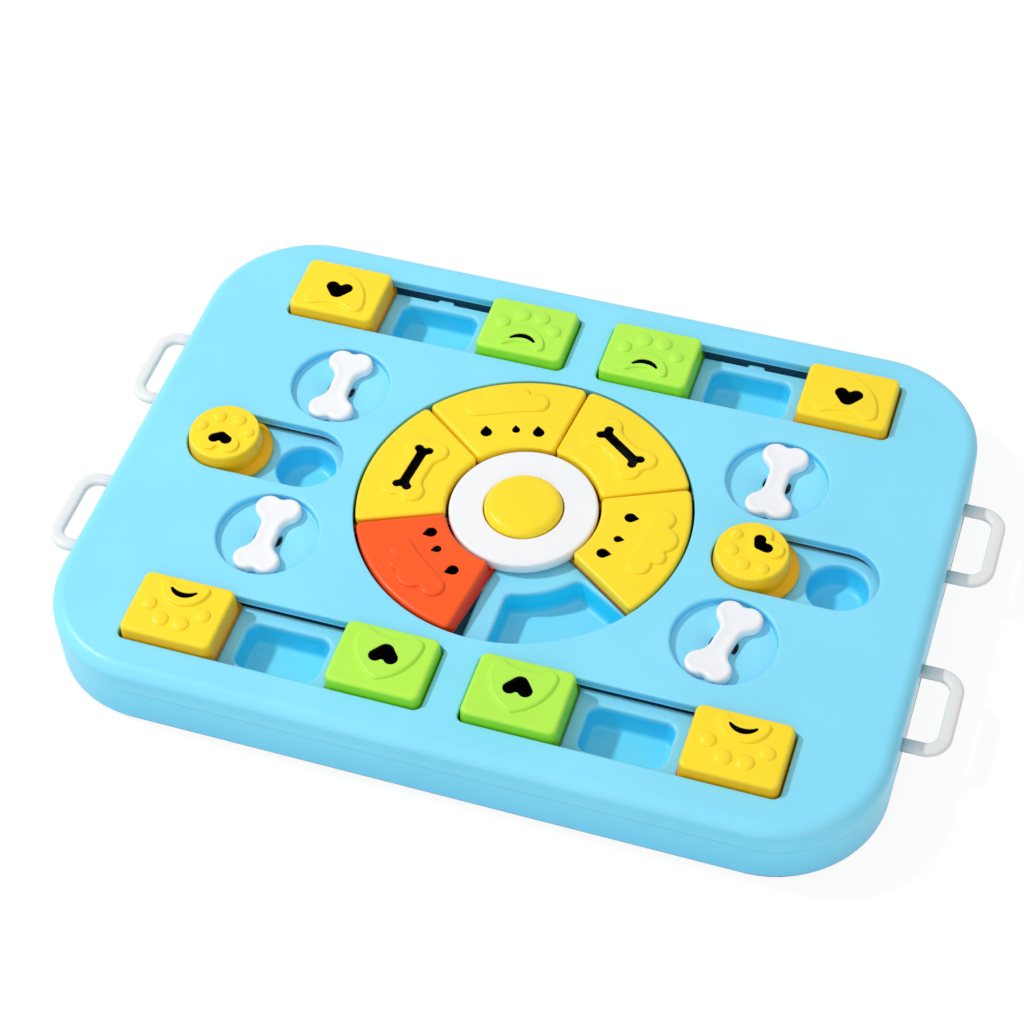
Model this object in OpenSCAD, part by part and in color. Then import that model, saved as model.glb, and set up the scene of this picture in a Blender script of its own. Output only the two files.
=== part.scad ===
// Treat puzzle for dogs: a flat tray with sliding lids, turning lids, spinning bones and pull-out drawers.
// Millimetres. X runs left to right, Y to the back, Z up. The origin is on the floor under the middle.

/* [Tray] */
// Outside length of the tray, left to right
tray_w = 424; // [410:1:450]
// Outside depth of the tray, front to back
tray_d = 309; // [300:1:330]
// Height of the cover's top face above the floor
tray_h = 39; // [38:1:46]
// Plan radius of the four tray corners
corner_r = 57; // [40:1:60]
// Round along the cover's top edge
top_edge_r = 7; // [6:0.5:8]
// Round along the bottom edge
bottom_edge_r = 2; // [1:0.5:3]
// Outer wall of the cover and of the base
wall_t = 2.4; // [2:0.1:3]
// Plate of the cover
cover_t = 2.2; // [2:0.1:2.6]
// Floor of the base
floor_t = 2.4; // [2.2:0.1:3]
// Height of the cover's side wall, from its top face to the seam
cover_side_h = 15.5; // [14:0.5:16]

/* [Openings] */
// Depth of the turned-down lip around each opening
lip_depth = 5.6; // [4:0.1:5.8]
// Thickness of that lip
lip_t = 2; // [1.6:0.1:2.4]
// Depth from the cover's top face to the decks that the lids run on
deck_drop = 9; // [8.6:0.1:10]
// Thickness of the decks and of the walls of the wells
deck_t = 1.8; // [1.6:0.1:2.2]
// Depth of the treat wells below the decks
well_depth = 15; // [10:0.5:17]

/* [Straight slots] */
// Distance from the tray's middle to the near end of a slot
slot_in = 9; // [8:0.5:10]
// Distance from a slot's far end to the side of the tray
slot_end = 46; // [42:0.5:50]
// Width of a slot
slot_wid = 40; // [39:0.5:42]
// Corner radius of a slot
slot_r = 4; // [3:0.5:6]
// Distance from the front or back of the tray to the middle of a slot row
row_margin = 40; // [39.5:0.5:42]
// Length of a well under a slot
well_len = 43; // [36:0.5:44]
// Width of a well under a slot
well_wid = 27; // [20:0.5:30]
// Corner radius of those wells
well_r = 6; // [3:0.5:8]

/* [Lids in the straight slots] */
// Length of a slot that three lids in a row would leave free
lid_play = 13; // [10:0.5:20]
// Height of the lids above the cover
lid_rise = 6; // [4:0.5:8]
// Gap between a lid and the opening it stands in
lid_gap = 0.8; // [0.5:0.1:1.2]
// Plan corner radius of a lid
lid_r = 4.5; // [2.5:0.5:5]
// Round along a lid's top edge
lid_edge_r = 2; // [1:0.5:2.5]
// Wall thickness of the hollow lids
lid_t = 1.8; // [1.4:0.1:2.2]
// Reach of a lid's foot past its side
foot_reach = 1.6; // [1.4:0.1:1.8]
// Thickness of the foot
foot_t = 2.5; // [2:0.1:3]
// Height of the raised ornaments
relief_h = 1; // [0.4:0.1:1.2]

/* [Oval slots] */
// Distance from the wheel's opening to an oval slot
oval_gap = 12.2; // [12:0.1:14]
// Distance from an oval slot's far end to the side of the tray
oval_end = 29.3; // [28.5:0.1:32]
// Width of an oval slot
oval_wid = 40; // [39:0.5:40]
// Radius of the round wells
round_well_r = 15.5; // [12:0.5:16]
// Radius of a round lid's top
puck_top_r = 18.4; // [17:0.1:18.6]
// Reach of a round lid's foot past the slot's edge
puck_foot_reach = 4; // [2:0.5:4]

/* [Wheel] */
// Distance from the straight slots to the round opening
wheel_gap = 8; // [7.5:0.1:8.5]
// Number of places around the wheel, one of them empty
wheel_places = 6; // [6:1:6]
// Inner radius of the turning lids
sector_in_r = 39.6; // [39.4:0.1:41]
// Height of the turning lids above the cover
sector_rise = 0.8; // [0.5:0.1:3]
// Angle that each turning lid spans
sector_span = 59; // [57:0.1:59.1]
// Angle left free between two turning lids
sector_gap = 0.55; // [0.4:0.05:0.8]
// Angle of the first turning lid, from the +X axis
sector_start = -5.5; // [-9:0.5:9]
// Inner radius of the sector wells
sector_well_in = 50; // [48:0.5:55]
// Distance from a sector well to the round opening
sector_well_rim = 7.5; // [6.5:0.5:16]
// Half the rib between two sector wells
sector_rib = 7.5; // [6:0.5:10]

/* [Centre] */
// Radius of the white ring
ring_r = 38; // [37:0.1:39]
// Thickness of the ring at its edge
ring_t = 6.2; // [5.8:0.1:6.3]
// Height of the ring above the deck it stands on
ring_rise = 8.4; // [8.4:0.1:9.4]
// Radius of the push button
button_r = 20; // [18:0.1:20.5]
// Height of the button above the ring
button_rise = 4.2; // [4:0.1:6]
// How far the button can be pushed
button_travel = 2.5; // [2:0.1:2.7]
// Radius of the squeaker
squeaker_r = 12; // [8:0.5:14]
// Radius of the well that holds the squeaker
squeaker_well_r = 20; // [16:0.5:21]

/* [Bones] */
// Distance from the round opening to the middle of a bone, along X
bone_gap = 32; // [31.5:0.5:34]
// Share of the strip beside a recess that lies between it and the oval slot
bone_share = 0.311; // [0.3:0.001:0.35]
// Radius of the round recess
recess_r = 26; // [25:0.5:27]
// Depth of the recess
recess_depth = 4.5; // [3.5:0.1:4.5]
// Length of a bone
bone_len = 48; // [40:0.5:49]
// Width of a bone across its ends
bone_wid = 24; // [22:0.5:25]
// Width of a bone at its waist
bone_waist = 10.5; // [10:0.5:13]
// Radius of the pivot pins
pivot_r = 2.5; // [2:0.1:2.8]
// Outer radius of the scent holes beside a pivot
scent_r = 7.6; // [7.2:0.1:9.5]

/* [Drawers] */
// Width of a drawer and of its handle
drawer_w = 52; // [44:0.5:52]
// How far the drawer's inner end lies past the bone's pivot
drawer_past = 20.5; // [16:0.5:22]
// Wall thickness of a drawer
drawer_t = 1.8; // [1.6:0.1:2.2]
// Reach of the handle outside the tray
handle_reach = 22.5; // [20:0.5:30]
// Width of the handle's bar
handle_bar = 7; // [5:0.5:8]
// Thickness of the handle's bar
handle_t = 4.5; // [4:0.1:5]
// Outer corner radius of the handle
handle_r = 13; // [9:0.5:15]
// Gap around a drawer
drawer_gap = 0.5; // [0.3:0.1:0.8]

/* [Screws and feet] */
// Radius of a screw's shank
screw_r = 1.4; // [1.2:0.1:1.6]
// Radius of a screw's head
screw_head_r = 2.8; // [2.4:0.1:3]
// Outer radius of a screw post
post_r = 4; // [3.8:0.1:4.2]
// Radius of a rubber foot
foot_r = 7; // [5:0.5:8]
// Height of the tray above the floor on its feet
foot_h = 1.2; // [1:0.1:1.6]

/* [Hidden] */
$fn = 96;

blue = [0.50, 0.86, 0.99];
yellow = [1.00, 0.87, 0.20];
green = [0.71, 0.94, 0.32];
orange = [1.00, 0.38, 0.14];
white = [0.96, 0.97, 0.98];
steel = [0.72, 0.73, 0.75];
grey = [0.35, 0.36, 0.38];

run_gap = 0.3;          // under a lid's foot, and around other running faces
pin_gap = 0.05;         // around a pivot pin or a screw's shank
step_t = 2;             // step of the cover's hollow under its rounded edge
seam_z = tray_h - cover_side_h;
plate_z = tray_h - cover_t;
lip_z = tray_h - lip_depth;
row_y = tray_d / 2 - row_margin;
slot_len = tray_w / 2 - slot_in - slot_end;
wheel_r = row_y - slot_wid / 2 - wheel_gap;
sector_well_out = wheel_r - sector_well_rim;
oval_in = wheel_r + oval_gap;
oval_len = tray_w / 2 - oval_end - oval_in;
lid_w = (slot_len - lid_play) / 3;
bone_x = wheel_r + bone_gap;
bone_y = oval_wid / 2 + recess_r
    + bone_share * (row_y - slot_wid / 2 - oval_wid / 2 - 2 * recess_r);
deck_z = tray_h - deck_drop;
well_z = deck_z - well_depth;
floor_z = foot_h + floor_t;
foot_z = deck_z + run_gap;
deck_margin = 1;        // the decks are this much narrower than the slots, on each side
deck_past = 3;          // and reach this far past a slot's ends

slot_x = slot_in + slot_len / 2;
lid_d = slot_wid - 2 * lid_gap;
lid_top = tray_h + lid_rise;
lid_pitch = (slot_len - lid_w) / 2 - lid_gap;
oval_x = oval_in + oval_len / 2;
oval_pitch = (oval_len - oval_wid) / 2;
puck_foot_r = oval_wid / 2 + puck_foot_reach;
low_relief_h = relief_h - 0.2; // ornaments of the round and the turning lids
sector_out_r = wheel_r - 1.3;
sector_foot_r = wheel_r + foot_reach + 0.9;
sector_top = tray_h + sector_rise;
ring_top = deck_z + ring_rise;
ring_z = ring_top - ring_t;
ring_skirt_out = ring_r - 7.5;
ring_skirt_in = ring_skirt_out - 5.5;
ring_lip = 3;           // thickness of the ring over the button's flange
ring_screw_r = (ring_skirt_out + ring_skirt_in) / 2;
ring_boss_h = 6;        // bosses under the wheel's deck for the ring's screws
sector_foot_in = ring_skirt_out + 1.5;
sector_foot_t = 1.5;    // thickness of the turning lids' foot under the ring
wheel_deck_r = sector_foot_r + 0.5;
sector_pitch = sector_span + sector_gap;
cloud_r = wheel_r - 17.5;
bone_lid_r = (sector_in_r + sector_out_r) / 2 - 0.9;
drop_r = sector_in_r + 12.4;
side_slope = 2.4;       // reach of the orange lid's free side at the deck
notch_from = 19;        // where that side's cut begins, from the inner radius outwards
notch_h = 5;            // height of the cut at the rim
rim_from = sector_out_r - sector_in_r;
button_top = ring_top + button_rise;
button_flange_r = ring_skirt_in - 0.7;
button_flange_z = ring_top - ring_lip - 0.4;
button_flange_t = 1.6;
button_edge_r = 4;
hub_z = deck_z - 18;    // floor of the well that holds the squeaker
recess_z = tray_h - recess_depth;
bone_z = recess_z + run_gap;
bone_top = tray_h + 1;
bone_bore = 3.4;        // depth of the pivot's bore in a bone
drawer_in = bone_x - drawer_past;
drawer_out = tray_w / 2 - 0.2;
drawer_z = floor_z + run_gap;
drawer_top = seam_z - drawer_gap;
insert_screw_len = 11;
drawer_stop = 0.6;      // gap between a drawer's inner end and its stop
rail_t = 2;
rail_h = 16;
screw_head_t = 1.4;     // also the depth of the recess for it in the floor

side_post_x = tray_w / 2 - wall_t - post_r - 6.5;
corner_post_a = 38;     // angle of a corner post, seen from the middle of the corner's round
corner_post_reach = corner_r - wall_t - post_r - 1.5;
corner_post_x = tray_w / 2 - corner_r + corner_post_reach * cos(corner_post_a);
corner_post_y = tray_d / 2 - corner_r + corner_post_reach * sin(corner_post_a);
inner_post_x = drawer_in - drawer_stop - rail_t - post_r - 3.5;
inner_post_y = bone_y + 13;

cover_posts = concat(
    [for (sx = [-1, 1], sy = [-1, 1]) [sx * corner_post_x, sy * corner_post_y]],
    [for (sx = [-1, 1], sy = [-1, 1]) [sx * inner_post_x, sy * inner_post_y]],
    [for (sx = [-1, 1]) [sx * side_post_x, 0]],
    [for (sy = [-1, 1]) [0, sy * row_y]]
);
straight_posts = [for (sx = [-1, 1]) [sx * lid_pitch / 2, 0]];
oval_posts = [for (sy = [-1, 1]) [0, sy * 11.5]];
wheel_post_r = wheel_r - 21.5;
wheel_posts = [for (a = [90, 210, 330]) wheel_post_r * [cos(a), sin(a)]];
insert_posts = concat(
    [for (sx = [-1, 1], sy = [-1, 1], p = straight_posts) [sx * slot_x + p[0], sy * row_y + p[1]]],
    [for (sx = [-1, 1], p = oval_posts) [sx * oval_x + p[0], p[1]]],
    wheel_posts
);
ring_holes = [for (a = [90, 210, 330]) ring_screw_r * [cos(a), sin(a)]];
foot_inset_x = 62;      // from the sides of the tray to the middle of a rubber foot
foot_inset_y = 69.5;
feet = [for (sx = [-1, 0, 1], sy = [-1, 1])
    [sx * (tray_w / 2 - foot_inset_x), sy * (tray_d / 2 - foot_inset_y - (sx == 0 ? 10 : 0))]];

// Points of an arc, for outlines that are turned or extruded
function arc(cx, cy, r, a0, a1, n = 6) =
    [for (i = [0:n]) [cx + r * cos(a0 + (a1 - a0) * i / n), cy + r * sin(a0 + (a1 - a0) * i / n)]];

// ---- Shapes that repeat ----

// Rectangle with round corners, centred
module round_rect(l, w, r) {
    square([l, w - 2 * r], center = true);
    square([l - 2 * r, w], center = true);
    for (sx = [-1, 1], sy = [-1, 1])
        translate([sx * (l / 2 - r), sy * (w / 2 - r)]) circle(r);
}

// Section of a slab: half its width to each side, its upper corners rounded by e
module slab_section(w, h, e) {
    translate([-w / 2, 0]) square([w, h - e]);
    translate([e - w / 2, 0]) square([w - 2 * e, h]);
    for (s = [-1, 1]) translate([s * (w / 2 - e), h - e]) circle(e);
}

// Slab from z0 to z1 with plan corners r, its top edge rounded by e
module slab(l, w, z0, z1, r, e) translate([0, 0, z0]) {
    h = z1 - z0;
    rotate([90, 0, 90]) linear_extrude(l - 2 * r, center = true) slab_section(w, h, e);
    rotate([90, 0, 0]) linear_extrude(w - 2 * r, center = true) slab_section(l, h, e);
    for (i = [0:3]) translate([(i == 0 || i == 3 ? 1 : -1) * (l / 2 - r), (i < 2 ? 1 : -1) * (w / 2 - r), 0])
        rotate(90 * i) rotate_extrude(angle = 90) {
            square([r, h - e]);
            square([r - e, h]);
            translate([r - e, h - e]) intersection() {
                circle(e);
                square(2 * e);
            }
        }
}

module oval(l, w) {
    square([l - w, w], center = true);
    for (sx = [-1, 1]) translate([sx * (l - w) / 2, 0]) circle(w / 2);
}

// Heart with its point towards -Y, w wide and h high, centred
module heart(w, h) translate([0, h / 2 - 0.28 * w]) {
    lobe = 0.28 * w;
    side = w / 2 - lobe;
    tip = lobe - h;
    for (s = [-1, 1]) translate([s * side, 0]) circle(lobe);
    polygon([[0, tip], [side + 0.78 * lobe, -0.62 * lobe], [side, 0.4 * lobe], [-side, 0.4 * lobe],
             [-side - 0.78 * lobe, -0.62 * lobe]]);
}

// Bone along X
module bone_shape(l, w, waist) {
    lobe = 0.285 * w;
    square([l - 2 * lobe, waist], center = true);
    for (sx = [-1, 1]) {
        for (sy = [-1, 1]) translate([sx * (l / 2 - lobe), sy * (w / 2 - lobe)]) circle(lobe);
        translate([sx * (l / 2 - 1.1 * lobe), 0]) circle(0.9 * lobe);
    }
}

// Drop with its point towards +X, as long as l
module drop(l) {
    r = 0.33 * l;
    translate([-l / 2 + r, 0]) circle(r);
    polygon([[l / 2, 0], [-l / 2 + 1.35 * r, 0.93 * r], [-l / 2 + 1.35 * r, -0.93 * r]]);
}

// Pad of a paw, its toes towards +Y
module pad_shape(w) {
    translate([0, -0.02 * w]) circle(0.32 * w);
    for (s = [-1, 1]) translate([s * 0.3 * w, -0.12 * w]) circle(0.2 * w);
    translate([0, -0.14 * w]) square([0.6 * w, 0.28 * w], center = true);
}

// Crescent, its hollow side towards -Y
module crescent(w, t) {
    r = w * 0.62;
    intersection() {
        difference() {
            translate([0, t - r]) circle(r);
            translate([0, -r - 0.15 * t]) circle(r);
        }
        translate([-w / 2, -w]) square([w, 2 * w]);
    }
}

// Cap of a ball that stands h above z = 0 on a circle of radius r
module toe(r, h) {
    ball = (r * r + h * h) / (2 * h);
    intersection() {
        translate([0, 0, h - ball]) sphere(ball);
        translate([-r, -r, -0.5]) cube([2 * r, 2 * r, h + 1]);
    }
}

// Self-tapping screw, head down, its head's seat at z = 0
module screw(l) {
    translate([0, 0, -screw_head_t]) cylinder(h = screw_head_t, r = screw_head_r);
    cylinder(h = l, r = screw_r);
}

// ---- Base ----

module base_pan() color(blue) difference() {
    union() {
        difference() {
            mirror([0, 0, 1]) slab(tray_w, tray_d, -seam_z, -foot_h, corner_r, bottom_edge_r);
            translate([0, 0, floor_z]) linear_extrude(tray_h)
                round_rect(tray_w - 2 * wall_t, tray_d - 2 * wall_t, corner_r - wall_t);
        }
        for (p = cover_posts) translate([p[0], p[1], foot_h + 1])
            cylinder(h = seam_z - foot_h - 1, r = post_r);
        for (sx = [-1, 1], sy = [-1, 1]) drawer_rails(sx, sy);
    }
    for (sx = [-1, 1], sy = [-1, 1])
        translate([sx * (tray_w / 2 - wall_t), sy * bone_y, floor_z + (seam_z + 1 - floor_z) / 2])
            cube([4 * wall_t, drawer_w + 2 * drawer_gap, seam_z + 1 - floor_z], center = true);
    for (p = concat(cover_posts, insert_posts)) translate([p[0], p[1], 0]) {
        cylinder(h = tray_h, r = screw_r + pin_gap);
        cylinder(h = foot_h + screw_head_t, r = screw_head_r + 0.1);
    }
    for (p = feet) translate([p[0], p[1], 0]) cylinder(h = foot_h + 0.8, r = foot_r);
}

module drawer_rails(sx, sy) {
    length = tray_w / 2 - wall_t - drawer_in;
    half = drawer_w / 2 + drawer_gap;
    for (s = [-1, 1])
        translate([sx * (drawer_in + length / 2), sy * bone_y + s * (half + rail_t / 2),
                   floor_z + rail_h / 2 - 0.5])
            cube([length + 1, rail_t, rail_h + 1], center = true);
    translate([sx * (drawer_in - drawer_stop - rail_t / 2), sy * bone_y, floor_z + rail_h / 2 - 0.5])
        cube([rail_t, 2 * half + 2 * rail_t, rail_h + 1], center = true);
    for (s = [-1, 1])
        translate([sx * (drawer_in - drawer_stop / 2), sy * bone_y + s * (half + rail_t / 2),
                   floor_z + rail_h / 2 - 0.5])
            cube([drawer_stop + 1, rail_t, rail_h + 1], center = true);
}

// ---- Inserts with the treat wells ----

module straight_insert(sx, sy) color(blue) translate([sx * slot_x, sy * row_y, 0]) difference() {
    length = slot_len + 2 * deck_past;
    width = slot_wid - 2 * deck_margin;
    union() {
        translate([0, 0, floor_z]) linear_extrude(deck_z - floor_z) difference() {
            round_rect(length, width, slot_r);
            round_rect(length - 2 * deck_t, width - 2 * deck_t, slot_r - deck_t);
        }
        translate([0, 0, deck_z - deck_t]) linear_extrude(deck_t) round_rect(length, width, slot_r);
        for (i = [-1:1]) translate([i * lid_pitch, 0, well_z - deck_t]) linear_extrude(well_depth + deck_t)
            round_rect(well_len + 2 * deck_t, well_wid + 2 * deck_t, well_r + deck_t);
        for (p = straight_posts) translate([p[0], p[1], floor_z])
            cylinder(h = deck_z - floor_z, r = post_r - 0.4);
        translate([0, width / 2, (floor_z + deck_z) / 2 - 0.2])
            cube([9, 2 * foot_reach + 1, deck_z - floor_z - 0.4], center = true);
    }
    for (i = [-1:1]) translate([i * lid_pitch, 0, well_z]) linear_extrude(well_depth + 1)
        round_rect(well_len, well_wid, well_r);
    for (p = straight_posts) translate([p[0], p[1], 0]) cylinder(h = deck_z - deck_t, r = screw_r + pin_gap);
}

module oval_insert(sx) color(blue) translate([sx * oval_x, 0, 0]) difference() {
    length = oval_len + 2 * deck_past;
    width = oval_wid - 2 * deck_margin;
    union() {
        translate([0, 0, floor_z]) linear_extrude(deck_z - floor_z) difference() {
            oval(length, width);
            oval(length - 2 * deck_t, width - 2 * deck_t);
        }
        translate([0, 0, deck_z - deck_t]) linear_extrude(deck_t) oval(length, width);
        for (s = [-1, 1]) translate([s * oval_pitch, 0, well_z - deck_t])
            cylinder(h = well_depth + deck_t, r = round_well_r + deck_t);
        for (p = oval_posts) translate([p[0], p[1], floor_z])
            cylinder(h = deck_z - floor_z, r = post_r - 0.4);
    }
    for (s = [-1, 1]) translate([s * oval_pitch, 0, well_z]) cylinder(h = well_depth + 1, r = round_well_r);
    for (p = oval_posts) translate([p[0], p[1], 0]) cylinder(h = deck_z - deck_t, r = screw_r + pin_gap);
}

// Outline of one sector well, or of its outside when grow is its wall
module sector_well(a, grow) rotate(a) intersection() {
    apex = (sector_rib - grow) / sin(180 / wheel_places);
    reach = 2 * wheel_r;
    half = 180 / wheel_places;
    difference() {
        circle(sector_well_out + grow);
        circle(sector_well_in - grow);
    }
    far = apex + reach * cos(half);
    polygon([[apex, 0], [far, -reach * sin(half)], [far, reach * sin(half)]]);
}

module insert_wheel() color(blue) difference() {
    places = [for (k = [0:wheel_places - 1]) k * 360 / wheel_places];
    union() {
        translate([0, 0, floor_z]) linear_extrude(deck_z - floor_z) difference() {
            circle(wheel_deck_r);
            circle(wheel_deck_r - deck_t);
        }
        translate([0, 0, deck_z - deck_t]) cylinder(h = deck_t, r = wheel_deck_r);
        for (a = places) translate([0, 0, well_z - deck_t])
            linear_extrude(well_depth + deck_t) sector_well(a, deck_t);
        translate([0, 0, hub_z - deck_t])
            cylinder(h = deck_z - hub_z + deck_t, r = squeaker_well_r + deck_t);
        for (p = wheel_posts) translate([p[0], p[1], floor_z])
            cylinder(h = deck_z - floor_z, r = post_r - 0.4);
        for (p = ring_holes) translate([p[0], p[1], deck_z - ring_boss_h])
            cylinder(h = ring_boss_h, r = post_r - 0.4);
    }
    for (a = places) translate([0, 0, well_z]) linear_extrude(well_depth + 1) sector_well(a, 0);
    translate([0, 0, hub_z]) cylinder(h = deck_z, r = squeaker_well_r);
    for (p = wheel_posts) translate([p[0], p[1], 0]) cylinder(h = deck_z - deck_t, r = screw_r + pin_gap);
    for (p = ring_holes) translate([p[0], p[1], 0]) cylinder(h = tray_h, r = screw_r + pin_gap);
}

// ---- Cover ----

module slot_outlines(grow) {
    for (sx = [-1, 1], sy = [-1, 1]) translate([sx * slot_x, sy * row_y])
        round_rect(slot_len + 2 * grow, slot_wid + 2 * grow, slot_r + grow);
    for (sx = [-1, 1]) translate([sx * oval_x, 0]) oval(oval_len + 2 * grow, oval_wid + 2 * grow);
    circle(wheel_r + grow);
}

module scent_holes() intersection() {
    difference() {
        circle(scent_r);
        circle(pivot_r + 1.7);
    }
    for (s = [-1, 1]) polygon([[0, 0], [s * 2 * scent_r, -1.6 * scent_r], [s * 2 * scent_r, 1.6 * scent_r]]);
}

module top_cover() color(blue) difference() {
    union() {
        difference() {
            slab(tray_w, tray_d, seam_z, tray_h, corner_r, top_edge_r);
            translate([0, 0, seam_z - 1]) linear_extrude(tray_h - cover_t - 3 - seam_z + 1)
                round_rect(tray_w - 2 * wall_t, tray_d - 2 * wall_t, corner_r - wall_t);
            translate([0, 0, seam_z]) linear_extrude(plate_z - seam_z)
                round_rect(tray_w - 2 * wall_t - 2 * step_t, tray_d - 2 * wall_t - 2 * step_t,
                           corner_r - wall_t - step_t);
        }
        translate([0, 0, lip_z]) linear_extrude(lip_depth - 1) slot_outlines(lip_t);
        for (sx = [-1, 1], sy = [-1, 1]) translate([sx * bone_x, sy * bone_y, recess_z - cover_t])
            cylinder(h = recess_depth + cover_t - 1, r = recess_r + lip_t);
        for (p = cover_posts) translate([p[0], p[1], seam_z]) cylinder(h = tray_h - seam_z - 1, r = post_r);
    }
    translate([0, 0, lip_z - 1]) linear_extrude(lip_depth + 2) slot_outlines(0);
    for (sx = [-1, 1], sy = [-1, 1]) translate([sx * bone_x, sy * bone_y, 0]) {
        translate([0, 0, recess_z]) cylinder(h = recess_depth + 1, r = recess_r);
        translate([0, 0, lip_z - cover_t - 1]) linear_extrude(tray_h) scent_holes();
        cylinder(h = tray_h, r = pivot_r + pin_gap);
    }
    for (p = cover_posts) translate([p[0], p[1], seam_z - 1])
        cylinder(h = plate_z - seam_z - 1, r = screw_r + pin_gap);
}

// ---- Lids in the straight slots ----

module straight_lid(tint) color(tint) difference() {
    union() {
        slab(lid_w, lid_d, foot_z, lid_top, lid_r, lid_edge_r);
        translate([0, 0, foot_z]) linear_extrude(foot_t)
            round_rect(lid_w + 2 * foot_reach, lid_d + 2 * (foot_reach + lid_gap), lid_r);
        translate([0, 0, lid_top]) children(0);
    }
    translate([0, 0, foot_z - 1]) linear_extrude(lid_top - lid_t - foot_z + 1)
        round_rect(lid_w - 2 * lid_t, lid_d - 2 * lid_t, lid_r - lid_t);
    translate([0, 0, lid_top - lid_t - 1]) linear_extrude(lid_t + 4) children(1);
}

module heart_relief() translate([0, 0.5, -0.5]) linear_extrude(relief_h + 0.5) rotate(180) heart(33, 28.5);

module paw_relief() {
    for (t = [[-14.2, 0.8, 3.4], [-5.4, 8.4, 3.8], [5.4, 8.4, 3.8], [14.2, 0.8, 3.4]])
        translate([t[0], t[1], 0]) toe(t[2], 1.6);
    translate([0, -8, -0.5]) linear_extrude(relief_h + 0.5) pad_shape(25);
}

module heart_lid(tint, turn) rotate(turn) straight_lid(tint) {
    heart_relief();
    translate([0, -2]) heart(13.8, 11.2);
}

module paw_lid(tint, turn) rotate(turn) straight_lid(tint) {
    paw_relief();
    translate([0, -10.6]) crescent(14, 3.6);
}

// A lid stands in the outer (1) or inner (-1) place of its slot
module in_slot(sx, sy, place) translate([sx * (slot_x + place * lid_pitch), sy * row_y, 0]) children();

module heart_lid_back_left() in_slot(-1, 1, 1) heart_lid(yellow, 0);
module paw_lid_back_left() in_slot(-1, 1, -1) paw_lid(green, 0);
module paw_lid_back_right() in_slot(1, 1, -1) paw_lid(green, 0);
module heart_lid_back_right() in_slot(1, 1, 1) heart_lid(yellow, 0);
module paw_lid_front_left() in_slot(-1, -1, 1) paw_lid(yellow, 180);
module heart_lid_front_left() in_slot(-1, -1, -1) heart_lid(green, 180);
module heart_lid_front_right() in_slot(1, -1, -1) heart_lid(green, 180);
module paw_lid_front_right() in_slot(1, -1, 1) paw_lid(yellow, 180);

// ---- Round lids in the oval slots ----

module round_lid(turn) color(yellow) rotate(turn) difference() {
    union() {
        rotate_extrude() polygon(concat(
            [[0, foot_z], [puck_foot_r, foot_z], [puck_foot_r, foot_z + foot_t]],
            [[oval_wid / 2 - lid_gap, foot_z + foot_t + 0.2], [oval_wid / 2 - lid_gap, tray_h]],
            arc(puck_top_r - lid_edge_r, lid_top - lid_edge_r, lid_edge_r, 8, 90),
            [[0, lid_top]]
        ));
        translate([0, 0, lid_top]) small_paw();
    }
    rotate_extrude() polygon([
        [0, foot_z - 1], [oval_wid / 2 - lid_gap - lid_t, foot_z - 1],
        [oval_wid / 2 - lid_gap - lid_t, tray_h],
        [puck_top_r - lid_t, lid_top - lid_t], [0, lid_top - lid_t]
    ]);
    translate([0, -5, lid_top - lid_t - 1]) linear_extrude(lid_t + 4) rotate(180) heart(11.5, 8.5);
}

// The paw of a round lid, smaller than that of a straight lid
module small_paw() {
    for (t = [[-12.6, 0.5], [-5.4, 9.8], [5.4, 9.8], [12.6, 0.5]]) translate([t[0], t[1], 0]) toe(3.6, 1.5);
    translate([0, -4.5, -0.5]) linear_extrude(low_relief_h + 0.5) pad_shape(20);
}

module round_lid_left() translate([-oval_x - oval_pitch, 0, 0]) round_lid(8);
module round_lid_right() translate([oval_x - oval_pitch, 0, 0]) round_lid(133);

// ---- Turning lids of the wheel ----

// Turns a section drawn in r and z through the angle span, centred on the +X axis
module sector_turn(span) rotate(-span / 2) rotate_extrude(angle = span, $fn = 180) children();

module sector_lid(tint, place) color(tint) rotate(sector_start + place * sector_pitch) difference() {
    e = lid_edge_r;
    inset = 2 * asin(lid_t / (2 * sector_in_r));
    union() {
        sector_turn(sector_span) polygon(concat(
            [[sector_foot_in, foot_z], [sector_foot_r, foot_z], [sector_foot_r, foot_z + foot_t]],
            [[sector_out_r, foot_z + foot_t]],
            arc(sector_out_r - e, sector_top - e, e, 0, 90),
            arc(sector_in_r + e, sector_top - e, e, 90, 180),
            [[sector_in_r, foot_z + sector_foot_t], [sector_foot_in, foot_z + sector_foot_t]]
        ));
        translate([0, 0, sector_top]) children(0);
    }
    sector_turn(sector_span - 2 * inset) polygon([
        [sector_in_r + lid_t, foot_z - 1], [sector_out_r - lid_t, foot_z - 1],
        [sector_out_r - lid_t, sector_top - lid_t], [sector_in_r + lid_t, sector_top - lid_t]
    ]);
    translate([0, 0, sector_top - lid_t - 1]) linear_extrude(lid_t + 4) children(1);
}

module bone_lid(place) sector_lid(yellow, place) {
    translate([bone_lid_r, 0, -0.5]) linear_extrude(low_relief_h + 0.5) rotate(90) bone_shape(38, 21, 13);
    translate([bone_lid_r, 0]) rotate(90) bone_shape(29, 8.5, 3.6);
}

module cloud_lid(tint, place) sector_lid(tint, place) {
    translate([0, 0, -0.5]) linear_extrude(low_relief_h + 0.5) cloud();
    for (d = [[-15, 8.4], [0, 5.6], [15, 8.4]]) rotate(d[0]) translate([drop_r, 0]) drop(d[1]);
}

// Puffs of a cloud, its flat side towards the middle of the wheel
module cloud() {
    for (p = [[-17, 0, 5.5], [-7, 4, 7], [6, 4, 8], [17, 0, 6]])
        rotate(p[0]) translate([cloud_r + p[1], 0]) circle(p[2]);
    translate([cloud_r - 0.5, 0]) square([9, 34], center = true);
}

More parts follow.
